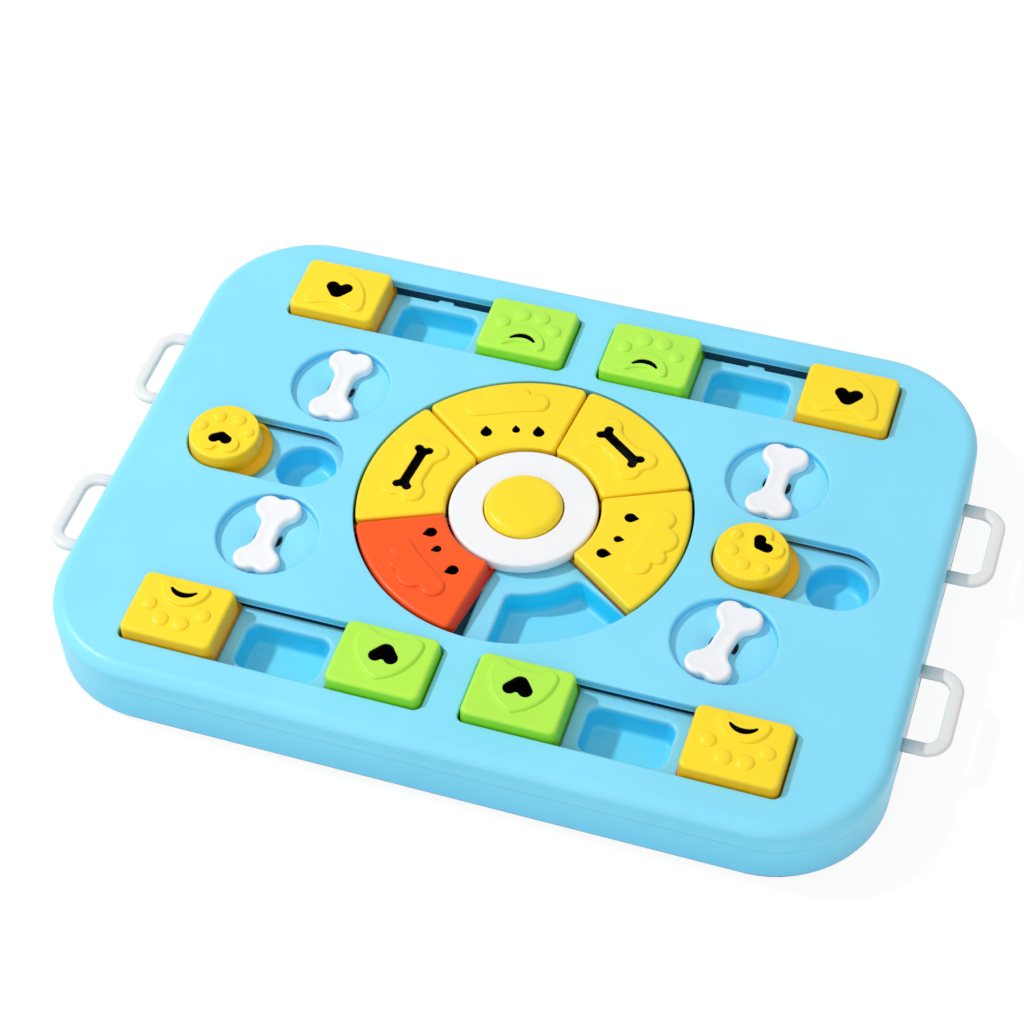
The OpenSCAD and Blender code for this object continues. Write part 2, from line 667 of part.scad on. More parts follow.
module wheel_lid_right() cloud_lid(yellow, 0);
module wheel_lid_back_right() bone_lid(1);
module wheel_lid_back() cloud_lid(yellow, 2);
module wheel_lid_left() bone_lid(3);

// The orange lid's free side slopes out to the deck, and is cut away below towards the rim
module wheel_lid_orange() color(orange) difference() {
    union() {
        cloud_lid(orange, 4);
        free_side() rotate([90, 0, 90]) linear_extrude(rim_from - 1.5) polygon([
            [-1, foot_z], [side_slope, foot_z],
            [-0.2, sector_top - 1.2 * lid_edge_r], [-1, tray_h]
        ]);
    }
    free_side() translate([0, side_slope + 1, 0]) rotate([90, 0, 0])
        linear_extrude(side_slope + 1 + 2 * lid_t) polygon([
            [notch_from, foot_z - 1], [notch_from, foot_z],
            [rim_from + 5, foot_z + notch_h], [rim_from + 5, foot_z - 1]
        ]);
}

module free_side() rotate(sector_start + 4 * sector_pitch + sector_span / 2)
    translate([sector_in_r + 0.5, 0, 0]) children();

// ---- Middle of the wheel ----

module centre_ring() color(white) difference() {
    hole = button_r + 0.5;
    e = 1.5;
    rotate_extrude() polygon(concat(
        [[hole, ring_top - ring_lip], [ring_skirt_in, ring_top - ring_lip], [ring_skirt_in, deck_z]],
        [[ring_skirt_out, deck_z], [ring_skirt_out, ring_z], [ring_r, ring_z]],
        arc(ring_r - e, ring_top - e, e, 0, 90),
        arc(hole + 1, ring_top - 1, 1, 90, 180)
    ));
    for (p = ring_holes) translate([p[0], p[1], 0]) cylinder(h = ring_top - 2, r = screw_r + pin_gap);
}

module push_button() color(yellow) {
    e = button_edge_r;
    t = lid_t;
    rotate_extrude() polygon(concat(
        [[button_r - t, button_flange_z - button_flange_t]],
        [[button_flange_r, button_flange_z - button_flange_t]],
        [[button_flange_r, button_flange_z], [button_r, button_flange_z]],
        arc(button_r - e, button_top - e, e, 0, 84, 8),
        [[0, button_top], [0, button_top - t], [button_r - t, button_top - e]]
    ));
    translate([0, 0, plunger_z()]) cylinder(h = button_top - t / 2 - plunger_z(), r = 4);
}

function squeaker_top() = hub_z + 14;
function plunger_z() = squeaker_top() + button_travel + run_gap;

// Rubber bellows with an open throat
module squeaker() color(white) {
    r = squeaker_r;
    top = squeaker_top();
    fold = (top - hub_z - 2) / 3;
    difference() {
        union() {
            translate([0, 0, hub_z]) cylinder(h = 1.5, r = r);
            for (i = [0:2]) translate([0, 0, hub_z + 1.5 + i * fold]) {
                cylinder(h = fold / 2, r1 = r - 3, r2 = r);
                translate([0, 0, fold / 2]) cylinder(h = fold / 2, r1 = r, r2 = r - 3);
            }
            translate([0, 0, top - 0.6]) cylinder(h = 0.6, r = r - 3);
        }
        translate([0, 0, hub_z + 1.5]) cylinder(h = top - hub_z - 2.7, r = r - 4.5);
        translate([0, 0, hub_z - 1]) cylinder(h = 4, r = 2);
    }
}

// ---- Bones ----

module bone(sx, sy, turn) color(white) translate([sx * bone_x, sy * bone_y, 0]) rotate(turn) difference() {
    translate([0, 0, bone_z]) linear_extrude(bone_top - bone_z) bone_shape(bone_len, bone_wid, bone_waist);
    translate([0, 0, bone_z - 1]) cylinder(h = bone_bore + 1, r = pivot_r + pin_gap);
}

module bone_back_left() bone(-1, 1, 92);
module bone_front_left() bone(-1, -1, 92);
module bone_back_right() bone(1, 1, 89);
module bone_front_right() bone(1, -1, 78);

// Headed pins, pushed up through the recess floors into the bones
module bone_pivots() color(white)
    for (sx = [-1, 1], sy = [-1, 1]) translate([sx * bone_x, sy * bone_y, 0]) {
        translate([0, 0, recess_z - cover_t - 1.6]) cylinder(h = 1.6, r = pivot_r + 1.5);
        translate([0, 0, recess_z - cover_t])
            cylinder(h = bone_z + bone_bore - 0.2 - recess_z + cover_t, r = pivot_r);
    }

// ---- Drawers ----

module drawer(sx, sy) color(white) translate([0, sy * bone_y, 0]) mirror([sx < 0 ? 1 : 0, 0, 0]) {
    length = drawer_out - drawer_in;
    mid = (drawer_out + drawer_in) / 2;
    difference() {
        translate([mid, 0, (drawer_z + drawer_top) / 2])
            cube([length, drawer_w, drawer_top - drawer_z], center = true);
        translate([mid, 0, drawer_z + drawer_t + tray_h / 2])
            cube([length - 2 * drawer_t, drawer_w - 2 * drawer_t, tray_h], center = true);
    }
    translate([0, 0, drawer_top - handle_t]) linear_extrude(handle_t) difference() {
        translate([tray_w / 2 - handle_reach, 0]) round_rect(4 * handle_reach, drawer_w, handle_r);
        translate([tray_w / 2 - handle_reach - handle_bar, 0])
            round_rect(4 * handle_reach, drawer_w - 2 * handle_bar, max(handle_r - handle_bar, 1));
        translate([0, -drawer_w]) square([drawer_out - drawer_t / 2, 2 * drawer_w]);
    }
}

module drawer_back_left() drawer(-1, 1);
module drawer_front_left() drawer(-1, -1);
module drawer_back_right() drawer(1, 1);
module drawer_front_right() drawer(1, -1);

// ---- Screws and feet ----

module cover_screws() color(steel)
    for (p = cover_posts) translate([p[0], p[1], foot_h + screw_head_t])
        screw(plate_z - 4 - foot_h - screw_head_t);

module insert_screws() color(steel)
    for (p = insert_posts) translate([p[0], p[1], foot_h + screw_head_t]) screw(insert_screw_len);

module ring_screws() color(steel)
    for (p = ring_holes) translate([p[0], p[1], deck_z - ring_boss_h])
        screw(ring_top - ring_lip - deck_z + ring_boss_h);

module rubber_feet() color(grey)
    for (p = feet) translate([p[0], p[1], 0]) cylinder(h = foot_h + 0.8, r = foot_r - 0.05);

base_pan();
straight_insert(-1, 1);  // insert_back_left
straight_insert(1, 1);  // insert_back_right
straight_insert(-1, -1);  // insert_front_left
straight_insert(1, -1);  // insert_front_right
oval_insert(-1);  // insert_oval_left
oval_insert(1);  // insert_oval_right
insert_wheel();
top_cover();
heart_lid_back_left();
paw_lid_back_left();
paw_lid_back_right();
heart_lid_back_right();
paw_lid_front_left();
heart_lid_front_left();
heart_lid_front_right();
paw_lid_front_right();
round_lid_left();
round_lid_right();
wheel_lid_right();
wheel_lid_back_right();
wheel_lid_back();
wheel_lid_left();
wheel_lid_orange();
centre_ring();
push_button();
squeaker();
bone_back_left();
bone_front_left();
bone_back_right();
bone_front_right();
bone_pivots();
drawer_back_left();
drawer_front_left();
drawer_back_right();
drawer_front_right();
cover_screws();
insert_screws();
ring_screws();
rubber_feet();
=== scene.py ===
"""A treat puzzle for dogs: a flat blue tray with sliding lids, a wheel of turning lids, spinning bones and drawers.

Every moulded piece is built from closed outlines in plan and from profiles carried along them. The sizes are in
millimetres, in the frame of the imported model, and become metres where a mesh is made.
"""
import math

import bpy
import numpy as np
from mathutils import Matrix, Vector
from mathutils.geometry import delaunay_2d_cdt


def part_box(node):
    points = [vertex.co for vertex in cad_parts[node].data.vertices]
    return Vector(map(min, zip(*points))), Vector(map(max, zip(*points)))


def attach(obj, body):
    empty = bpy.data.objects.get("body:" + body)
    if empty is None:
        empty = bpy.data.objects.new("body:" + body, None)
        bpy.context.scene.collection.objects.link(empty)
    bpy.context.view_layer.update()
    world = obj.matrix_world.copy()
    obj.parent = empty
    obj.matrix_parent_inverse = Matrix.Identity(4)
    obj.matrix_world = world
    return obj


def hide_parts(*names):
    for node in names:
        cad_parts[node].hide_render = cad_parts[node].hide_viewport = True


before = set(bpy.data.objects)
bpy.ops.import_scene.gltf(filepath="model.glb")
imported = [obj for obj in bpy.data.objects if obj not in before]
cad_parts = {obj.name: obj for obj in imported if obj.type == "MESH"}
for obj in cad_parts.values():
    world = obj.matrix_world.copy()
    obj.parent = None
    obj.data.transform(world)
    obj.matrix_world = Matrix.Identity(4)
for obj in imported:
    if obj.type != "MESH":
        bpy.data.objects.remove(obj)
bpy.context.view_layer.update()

MM = 0.001


def span(node):
    """Lowest and highest corner of a node, in millimetres."""
    low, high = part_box(node)
    return np.array(low) / MM, np.array(high) / MM


def middle(node):
    """Middle of a node's box in plan, in millimetres."""
    low, high = span(node)
    return tuple((low + high)[:2] / 2)


# ---- Sizes taken from the frame ----

cover_low, cover_high = span("top_cover")
TRAY_L, TRAY_W = (cover_high - cover_low)[:2]
TOP = cover_high[2]                             # the cover's flat top
SEAM = cover_low[2]                             # the line between the cover and the base
DECK = span("insert_back_left")[1][2]           # the decks that the lids run on
FLOOR = span("insert_back_left")[0][2]          # the inside of the base
LID_TOP = 45.0                                  # flat tops of the sliding lids
FOOT = span("heart_lid_back_left")[0][2]        # undersides of the lids' feet
WHEEL_LID_TOP = 39.8
RING_TOP = 38.4

# ---- Sizes of the mouldings ----

CORNER_R = 57.0
WALL = 2.4
PLATE = 2.2                                     # thickness of the cover's flat plate
LIP_DEPTH = 5.6                                 # depth of the turned-down rim round each opening
LIP = 2.0                                       # its thickness
RECESS_DEPTH = 4.5                              # depth of the recesses that the bones lie in
SLOT_X, SLOT_Y = 87.5, 114.5                    # middles of the straight slots
SLOT_L, SLOT_W, SLOT_R = 157.0, 40.0, 4.0
OVAL_X, OVAL_L, OVAL_W = 140.7, 84.0, 40.0
WHEEL_R = 86.5
BONE_X, BONE_Y, RECESS_R = 118.5, 53.0, 26.0
WELL_FLOOR = 15.0
POST_R = 2.8                                    # radius of the inserts' screw posts
SKIN = 1.8                                      # walls of the lids, decks and drawers
LID_L, LID_W, LID_R = 48.0, 38.4, 4.5
LID_PITCH = 53.7
OVAL_PITCH = 22.0
FIRST_LID, LID_STEP, LID_SPAN = -5.5, 59.55, 58.6   # angles of the turning lids
LID_IN, LID_OUT = 39.6, 85.2                    # their inner and outer radius
FOOT_IN, FOOT_OUT = 32.0, 89.0
UNDER_RING = 1.5                                # height of the turning lids' foot under the white ring
HOLD = 0.35                                     # flat strip beside each round, which keeps a flat face flat
CHORD = 0.008                                   # how far an arc's chord may lie inside it

CORNERS = {"back_left": (-1, 1), "back_right": (1, 1), "front_left": (-1, -1), "front_right": (1, -1)}


# ---- Outlines in plan ----

class Outline:
    """A closed line in plan, counter-clockwise: one row of points and one of outward normals. `layout` keeps how a
    belt shared its points out, for a second belt that is to be joined to it."""

    def __init__(self, points, normals, layout=None):
        self.points, self.normals, self.layout = points, normals, layout

    def at(self, d):
        """The line moved outwards by d along its normals, or inwards where d is negative."""
        return self.points + np.multiply.outer(np.broadcast_to(d, len(self.points)), [1, 1]) * self.normals

    def placed(self, x=0.0, y=0.0, turn=0.0):
        """The line turned by so many degrees about the origin and then moved."""
        c, s = math.cos(math.radians(turn)), math.sin(math.radians(turn))
        spin = np.array([[c, s], [-s, c]])
        return Outline(self.points @ spin + [x, y], self.normals @ spin, self.layout)


def belt(pulleys, like=None):
    """Outline of a belt laid counter-clockwise round pulleys (x, y, r), where r is negative for a pulley that
    presses on it from outside. The straight run from pulley a to pulley b has the normal n for which
    n . (b - a) = ra - rb, and on each pulley the normal turns evenly. Where one pulley touches the next from inside,
    the double point is left out. `like` gives the layout of the points."""
    wheels = np.array(pulleys, float)
    centres, radii = wheels[:, :2], wheels[:, 2]
    run = np.roll(centres, -1, 0) - centres
    gap = np.hypot(run[:, 0], run[:, 1])
    lean = np.arccos(np.clip((radii - np.roll(radii, -1)) / gap, -1, 1))
    leave = np.arctan2(run[:, 1], run[:, 0]) - lean
    meet = np.roll(leave, 1)
    way = np.sign(radii)
    turn = (((leave - meet) * way + 1e-6) % (2 * math.pi) - 1e-6) * way
    if like is None:
        step = 2 * np.arccos(1 - CHORD / np.maximum(np.abs(radii), 0.5))
        counts = np.maximum(np.ceil(np.abs(turn) / step).astype(int) + 1, 3)
    else:
        counts = like.layout[0]
    angles = np.concatenate([np.linspace(m, m + t, n) for m, t, n in zip(meet, turn, counts)])
    normals = np.stack([np.cos(angles), np.sin(angles)], 1)
    points = np.repeat(centres, counts, 0) + np.repeat(radii, counts)[:, None] * normals
    single = like.layout[1] if like else np.hypot(*(points - np.roll(points, 1, 0)).T) > 1e-4
    return Outline(points[single], normals[single], (counts, single))


def circle(x, y, r):
    """Circle, its points evenly spaced."""
    count = max(24, int(math.ceil(math.pi / math.acos(1 - CHORD / r))))
    angles = np.linspace(0, 2 * math.pi, count, endpoint=False)
    normals = np.stack([np.cos(angles), np.sin(angles)], 1)
    return Outline(np.array([x, y]) + r * normals, normals)


def round_rect(x, y, length, width, r, like=None):
    """Rectangle with round corners: a belt round four pulleys."""
    a, b = length / 2 - r, width / 2 - r
    return belt([(x + a, y - b, r), (x + a, y + b, r), (x - a, y + b, r), (x - a, y - b, r)], like)


def oval(x, y, length, width):
    """Slot with half-round ends: a belt round two pulleys."""
    a = (length - width) / 2
    return belt([(x + a, y, width / 2), (x - a, y, width / 2)])


def nook(a, b, r):
    """Pulley of radius r that rounds the inside corner between pulleys a and b, on the belt's outer side: it touches
    both, so its middle lies at the distances ra + r and rb + r from theirs."""
    ax, ay, ar = a
    bx, by, br = b
    gap = math.hypot(bx - ax, by - ay)
    along = (gap ** 2 + (ar + r) ** 2 - (br + r) ** 2) / (2 * gap)
    aside = math.sqrt((ar + r) ** 2 - along ** 2)
    ux, uy = (bx - ax) / gap, (by - ay) / gap
    return (ax + along * ux + aside * uy, ay + along * uy - aside * ux, -r)


def swell(a, b, r):
    """Large pulley of radius r that bulges the run from pulley a to pulley b: both touch it from inside, so its middle
    lies at the distances r - ra and r - rb from theirs, on the belt's inner side."""
    ax, ay, ar = a
    bx, by, br = b
    gap = math.hypot(bx - ax, by - ay)
    along = (gap ** 2 + (r - ar) ** 2 - (r - br) ** 2) / (2 * gap)
    aside = math.sqrt((r - ar) ** 2 - along ** 2)
    ux, uy = (bx - ax) / gap, (by - ay) / gap
    return (ax + along * ux - aside * uy, ay + along * uy + aside * ux, r)


def heart(width, height, tip_r, lobe, notch_r, side_r=0):
    """Heart with its point towards -Y, centred: two lobes, a rounded point and a rounded notch. Its sides are straight,
    or bulge with the radius side_r."""
    tip = (0, tip_r - height / 2, tip_r)
    right = (width / 2 - lobe, height / 2 - lobe, lobe)
    left = (-right[0], right[1], lobe)
    if side_r:
        return belt([tip, swell(tip, right, side_r), right, nook(right, left, notch_r), left,
                     swell(left, tip, side_r)])
    return belt([tip, right, nook(right, left, notch_r), left])


def bone(length, width, waist, waist_r, lobe, notch_r):
    """Bone along X: two lobes at each end, a notch between them, and a waist that leaves the lobes in arcs."""
    lx, ly = length / 2 - lobe, width / 2 - lobe
    reach = math.sqrt((waist_r + lobe) ** 2 - (waist / 2 + waist_r - ly) ** 2)
    wx, wy = max(lx - reach, 0.01), waist / 2 + waist_r
    low_right, high_right, high_left, low_left = (lx, -ly, lobe), (lx, ly, lobe), (-lx, ly, lobe), (-lx, -ly, lobe)
    return belt([
        low_right, nook(low_right, high_right, notch_r), high_right, (wx, wy, -waist_r), (-wx, wy, -waist_r),
        high_left, nook(high_left, low_left, notch_r), low_left, (-wx, -wy, -waist_r), (wx, -wy, -waist_r),
    ])


def crescent(width, rise, hollow, tip_r):
    """Crescent whose round tips lie on the X axis: its back rises to `rise` and its hollow side to `hollow`. An arc
    of radius r about (0, y) that passes the tips inside has r - tip_r as its distance from their middles."""
    a = width / 2 - tip_r
    up, inner = rise - tip_r, hollow + tip_r
    back_y = (up ** 2 - a ** 2) / (2 * up)
    hollow_y = (inner ** 2 - a ** 2) / (2 * inner)
    return belt([(a, 0, tip_r), (0, back_y, rise - back_y), (-a, 0, tip_r), (0, hollow_y, -(hollow - hollow_y))])


def drop(length, r, tip_r):
    """Drop with its point towards +X, centred: a belt round a large and a small pulley."""
    return belt([(length / 2 - tip_r, 0, tip_r), (r - length / 2, 0, r)])


def sector(r_in, r_out, half, rib, r, like=None):
    """Part of a ring about the +X axis, `half` degrees to each side. Its straight sides keep the distance `rib`
    from the lines at that angle, and its corners have the radius r. A corner's middle lies rib + r from the line
    and r from the arc beside it."""
    c, s = math.cos(math.radians(half)), math.sin(math.radians(half))
    away = rib + r
    corners = [(t * c + away * s, t * s - away * c, r)
               for t in (math.sqrt((r_out - r) ** 2 - away ** 2), math.sqrt((r_in + r) ** 2 - away ** 2))]
    (ox, oy, _), (ix, iy, _) = corners
    return belt([(ix, -iy, r), (ox, -oy, r), (0, 0, r_out), (ox, oy, r), (ix, iy, r), (0, 0, -r_in)], like)


def cloud(puffs, base_r):
    """Cloud of puffs (angle, distance, radius) about the origin, joined by small nooks, over a base line that is an
    arc about the origin."""
    rounds = [(d * math.cos(math.radians(a)), d * math.sin(math.radians(a)), p) for a, d, p in puffs]
    pulleys = []
    for here, there in zip(rounds, rounds[1:]):
        pulleys += [here, nook(here, there, 1.2)]
    return belt(pulleys + [rounds[-1], (0, 0, -base_r)])


def arc(cx, cz, r, start, end, count=7):
    """Points (d, z) of an arc of a profile, about (cx, cz), from the angle start to end in degrees."""
    angles = np.radians(np.linspace(start, end, count))
    return [(cx + r * math.cos(a), cz + r * math.sin(a)) for a in angles]


# ---- Meshes from profiles and outlines ----

class Shell:
    """A closed surface: rings of points, bands between them and flat faces across them. A band faces away from the
    material when the rings run up an outer wall, inwards over a top, and down the wall of a hole."""

    def __init__(self):
        self.points, self.faces, self.tints, self.total = [], [], [], 0

    def ring(self, xy, z):
        """Adds a closed row of points at the height z, one value or one for each point."""
        z = np.broadcast_to(z, len(xy))
        self.points.append(np.column_stack([xy, z]))
        self.total += len(xy)
        return np.arange(self.total - len(xy), self.total)

    def band(self, a, b, tint=0):
        """Faces between the rings a and b, which have as many points each."""
        self.faces += np.stack([a, np.roll(a, -1), np.roll(b, -1), b], 1).tolist()
        self.tints += [tint] * len(a)

    def carry(self, outline, profile, tint=0, shape=None):
        """Carries a profile of (d, z) points, or of (d, z, outline), along an outline. `shape` may move each ring.
        Returns the first and the last ring."""
        rings = []
        for step in profile:
            line = step[2] if len(step) > 2 else outline
            xy, z = line.at(step[0]), np.full(len(line.points), float(step[1]))
            if shape:
                xy, z = shape(line, xy, z)
            rings.append(self.ring(xy, z))
        for a, b in zip(rings, rings[1:]):
            self.band(a, b, tint)
        return rings[0], rings[-1]

    def flat(self, outer, holes=(), up=True, tint=0):
        """Fills the flat face inside the ring `outer` and outside the rings `holes` with triangles. A triangle
        belongs to it when a ray from its middle along +X crosses the rings an odd number of times."""
        rings = [outer, *holes]
        index = np.concatenate(rings)
        plan = np.concatenate(self.points)[index, :2]
        starts = np.cumsum([0] + [len(r) for r in rings])
        edges = np.array([(s + i, s + (i + 1) % n) for s, n in zip(starts, map(len, rings)) for i in range(n)])
        found = delaunay_2d_cdt([Vector(p) for p in plan], edges.tolist(), [], 0, 1e-7)
        names = np.array([o[0] for o in found[3]])
        triangles = names[np.array(found[2])]
        x, y = (plan[triangles].mean(1)[:, k, None] for k in (0, 1))
        (ax, ay), (bx, by) = plan[edges[:, 0]].T, plan[edges[:, 1]].T
        rise = np.where(by == ay, 1.0, by - ay)
        crossed = ((ay > y) != (by > y)) & (x < ax + (y - ay) / rise * (bx - ax))
        kept = index[triangles[crossed.sum(1) % 2 == 1]]
        self.faces += (kept if up else kept[:, ::-1]).tolist()
        self.tints += [tint] * len(kept)

    def mesh(self, name):
        """Writes the surface into a smooth mesh, in metres."""
        made = bpy.data.meshes.new(name)
        made.from_pydata((np.concatenate(self.points) * MM).tolist(), [], self.faces)
        made.polygons.foreach_set("material_index", self.tints)
        made.shade_smooth()
        made.update()
        return made


def place(name, shell, materials, body, slot, *nodes):
    """Makes the piece, hangs it on its body and lets it stand for its nodes."""
    piece = bpy.data.objects.new(name, shell.mesh(name))
    for material in materials:
        piece.data.materials.append(material)
    bpy.context.scene.collection.objects.link(piece)
    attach(piece, body)
    if nodes:
        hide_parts(*nodes)
    return piece


# ---- Materials ----

def linear(*colour):
    """Linear light of a colour written as 0 to 255 per channel."""
    parts = np.array(colour) / 255
    return (*np.where(parts <= 0.04045, parts / 12.92, ((parts + 0.055) / 1.055) ** 2.4), 1.0)


def moulded(name, colour, deep=None, roughness=0.32, grain=0.035, speck=900.0, specular=0.3):
    """Moulded plastic: the colour drifts a little over a few centimetres, the gloss varies over millimetres, and a
    fine grain stands on the surface. `colour` is one colour, or a row of (height, colour) that the plastic passes
    through from low to high: painted shade, deeper and darker low down where a part is enclosed and gets less light."""
    material = bpy.data.materials.new(name)
    material.use_nodes = True
    nodes, links = material.node_tree.nodes, material.node_tree.links
    shader = nodes["Principled BSDF"]
    coords = nodes.new("ShaderNodeTexCoord")

    def noise(scale, detail, rough):
        tex = nodes.new("ShaderNodeTexNoise")
        tex.inputs["Scale"].default_value = scale
        tex.inputs["Detail"].default_value = detail
        tex.inputs["Roughness"].default_value = rough
        links.new(coords.outputs["Object"], tex.inputs["Vector"])
        return tex.outputs["Fac"]

    drift = nodes.new("ShaderNodeMapRange")
    drift.inputs["From Min"].default_value = 0.35
    drift.inputs["From Max"].default_value = 0.75
    links.new(noise(22.0, 3.0, 0.55), drift.inputs["Value"])
    mix = nodes.new("ShaderNodeMix")
    mix.data_type = "RGBA"
    mix.blend_type = "MULTIPLY"
    mix.inputs["B"].default_value = deep or (0.93, 0.96, 0.97, 1)
    links.new(drift.outputs["Result"], mix.inputs["Factor"])
    if isinstance(colour, list):
        links.new(by_height(nodes, links, coords, colour), mix.inputs["A"])
    else:
        mix.inputs["A"].default_value = colour
    links.new(mix.outputs["Result"], shader.inputs["Base Color"])
    gloss = nodes.new("ShaderNodeMapRange")
    gloss.inputs["To Min"].default_value = roughness - 0.05
    gloss.inputs["To Max"].default_value = roughness + 0.07
    links.new(noise(130.0, 4.0, 0.6), gloss.inputs["Value"])
    links.new(gloss.outputs["Result"], shader.inputs["Roughness"])
    bump = nodes.new("ShaderNodeBump")
    bump.inputs["Strength"].default_value = grain
    bump.inputs["Distance"].default_value = 0.0004
    links.new(noise(speck, 2.0, 0.5), bump.inputs["Height"])
    links.new(bump.outputs["Normal"], shader.inputs["Normal"])
    shader.inputs["IOR"].default_value = 1.46
    shader.inputs["Specular IOR Level"].default_value = specular
    return material


def by_height(nodes, links, coords, stops):
    """Socket with the colour at a point's height, from stops (height in millimetres, colour)."""
    low, high = stops[0][0], stops[-1][0]
    parts = nodes.new("ShaderNodeSeparateXYZ")
    links.new(coords.outputs["Object"], parts.inputs[0])
    share = nodes.new("ShaderNodeMapRange")
    share.inputs["From Min"].default_value = low * MM
    share.inputs["From Max"].default_value = high * MM
    links.new(parts.outputs["Z"], share.inputs["Value"])
    ramp = nodes.new("ShaderNodeValToRGB")
    links.new(share.outputs["Result"], ramp.inputs[0])
    keys = ramp.color_ramp.elements
    while len(keys) < len(stops):
        keys.new(0.5)
    for key, (height, _) in zip(keys, stops):
        key.position = (height - low) / (high - low)
    for key, (_, colour) in zip(keys, stops):
        key.color = colour
    return ramp.outputs["Color"]


def turned_steel():
    """Zinc-plated steel of the screws: bright, with a fine grain."""
    material = moulded("plated_steel", linear(196, 198, 202), None, 0.3, 0.08, 2400.0, 0.5)
    material.node_tree.nodes["Principled BSDF"].inputs["Metallic"].default_value = 1.0
    return material


SKY = linear(138, 224, 252)
# Blue plastic with painted shade: the dark band at the very bottom is a painted contact shadow along the tray's lower
# edge, and the walls are painted a little deeper below the top.
BLUE = moulded("blue_moulding", [
    (1.2, linear(44, 88, 112)), (2.2, linear(60, 112, 138)), (2.9, linear(112, 210, 246)),
    (20.0, linear(122, 222, 251)), (33.4, linear(126, 222, 251)), (34.4, SKY),
])
# The cover's rolled rims and recess walls: painted shade, a deeper blue down the walls below the top.
RIM_BLUE = moulded("blue_rims", [
    (34.5, SKY), (35.2, linear(90, 196, 245)), (37.2, linear(104, 206, 248)), (38.8, SKY),
])
# Decks and treat wells: painted shade, the well walls deeper and more saturated below the deck, the floors near the
# deck's colour.
POCKETS = moulded("blue_pockets", [
    (15.0, linear(118, 228, 252)), (17.0, linear(86, 219, 252)), (26.0, linear(52, 208, 250)), (29.2, SKY),
])
# Wheel insert: painted shade, the well walls a deep saturated blue, the floors near the deck's colour.
WHEEL_WELLS = moulded("blue_wheel_wells", [
    (15.0, linear(132, 229, 252)), (16.5, linear(96, 220, 251)), (20.0, linear(20, 214, 252)),
    (27.0, linear(40, 216, 252)), (29.2, SKY),
])
# Yellow lids: painted shade by height, the foot dark so that the gaps round the lids look black, the sides a deeper
# orange-yellow below the top.
YELLOW = moulded("yellow_moulding", [
    (33.0, linear(176, 118, 4)), (33.6, linear(244, 168, 4)), (42.6, linear(253, 196, 12)),
    (44.7, linear(255, 223, 44)),
])
# Round lids: painted shade, the foot and sides a deeper yellow below the top.
PUCK_YELLOW = moulded("puck_yellow_moulding", [
    (30.3, linear(255, 192, 10)), (42.6, linear(252, 196, 12)), (44.6, linear(255, 223, 44)),
])
# Wheel lids and button: painted shade, the foot a dark brown near black and the sides deeper below the top.
LOW_YELLOW = moulded("low_yellow_moulding", [
    (31.2, linear(96, 64, 4)), (33.6, linear(190, 128, 6)), (35.0, linear(250, 202, 22)), (39.5, linear(255, 223, 44)),
])
# Green lids: painted shade, the foot dark green so that the gaps round the lids look black, the sides deeper below the
# top.
GREEN = moulded("green_moulding", [
    (33.0, linear(58, 128, 8)), (33.6, linear(110, 205, 20)), (42.8, linear(146, 226, 40)),
    (44.6, linear(182, 241, 80)),
])
# Orange lid: painted shade, dark red at the foot and a deeper orange up the sides.
ORANGE = moulded("orange_moulding", [
    (31.0, linear(150, 20, 6)), (33.0, linear(214, 40, 8)), (37.8, linear(240, 66, 16)), (39.5, linear(252, 91, 27)),
])
WHITE = moulded("white_moulding", linear(240, 242, 245), (0.97, 0.98, 0.99, 1), 0.32)
HANDLE_WHITE = moulded("handle_moulding", linear(232, 231, 230), (0.97, 0.97, 0.97, 1), 0.32)
# Near black, painted shade: the lids' hollows, the walls of the holes through them and the wheel lids' feet.
PAINTED_SHADE = moulded("painted_shade_black", linear(10, 10, 11), None, 0.6)
RUBBER = moulded("white_rubber", linear(226, 226, 222), None, 0.6, 0.08)
FEET = moulded("grey_rubber", linear(92, 95, 100), None, 0.7, 0.1)
STEEL = turned_steel()


# ---- Cover ----

def openings():
    """Outlines of the four straight slots, the two oval slots and the round opening, each with the radius that its
    rim is rolled with."""
    slots = [round_rect(sx * SLOT_X, sy * SLOT_Y, SLOT_L, SLOT_W, SLOT_R) for sx, sy in CORNERS.values()]
    ovals = [oval(sx * OVAL_X, 0, OVAL_L, OVAL_W) for sx in (-1, 1)]
    return [(line, 1.0) for line in slots + ovals] + [(circle(0, 0, WHEEL_R), 0.6)]


def make_top_cover():
    """The cover: a round over the tray's edge, a rolled rim that turns down into each opening, and four round
    recesses, each with a bore and two scent holes in its floor."""
    shell = Shell()
    edge, seam = 7.0, 0.3
    under = TOP - PLATE
    wall = round_rect(0, 0, TRAY_L, TRAY_W, CORNER_R)
    inside, outside = shell.carry(wall, [
        (-WALL - 2 - HOLD, under), (-WALL - 2, under), (-WALL, under - 2), (-WALL, SEAM), (-seam, SEAM),
        *arc(-seam, SEAM + seam, seam, -70, 0, 4), *arc(-edge, TOP - edge, edge, 0, 90, 12),
        (-edge - 4 * HOLD, TOP),
    ])
    top_holes, under_holes = [], []
    for rim, roll in openings():
        # Each rim and its turned-down wall take the second material, which paints shade down the wall.
        high, low = shell.carry(rim, [
            (roll + 3 * HOLD, TOP), *arc(roll, TOP - roll, roll, 90, 180),
            *arc(0.5, TOP - LIP_DEPTH + 0.5, 0.5, 180, 270, 4),
            *arc(LIP - 0.5, TOP - LIP_DEPTH + 0.5, 0.5, 270, 360, 4), (LIP, under), (LIP + HOLD, under),
        ], tint=1)
        top_holes.append(high)
        under_holes.append(low)
    for sx, sy in CORNERS.values():
        high, low = make_recess(shell, sx * BONE_X, sy * BONE_Y, under)
        top_holes.append(high)
        under_holes.append(low)
    shell.flat(outside, top_holes)
    shell.flat(inside, under_holes, up=False)
    place("tray_cover", shell, [BLUE, RIM_BLUE], "tray", "blue_plastic", "top_cover")


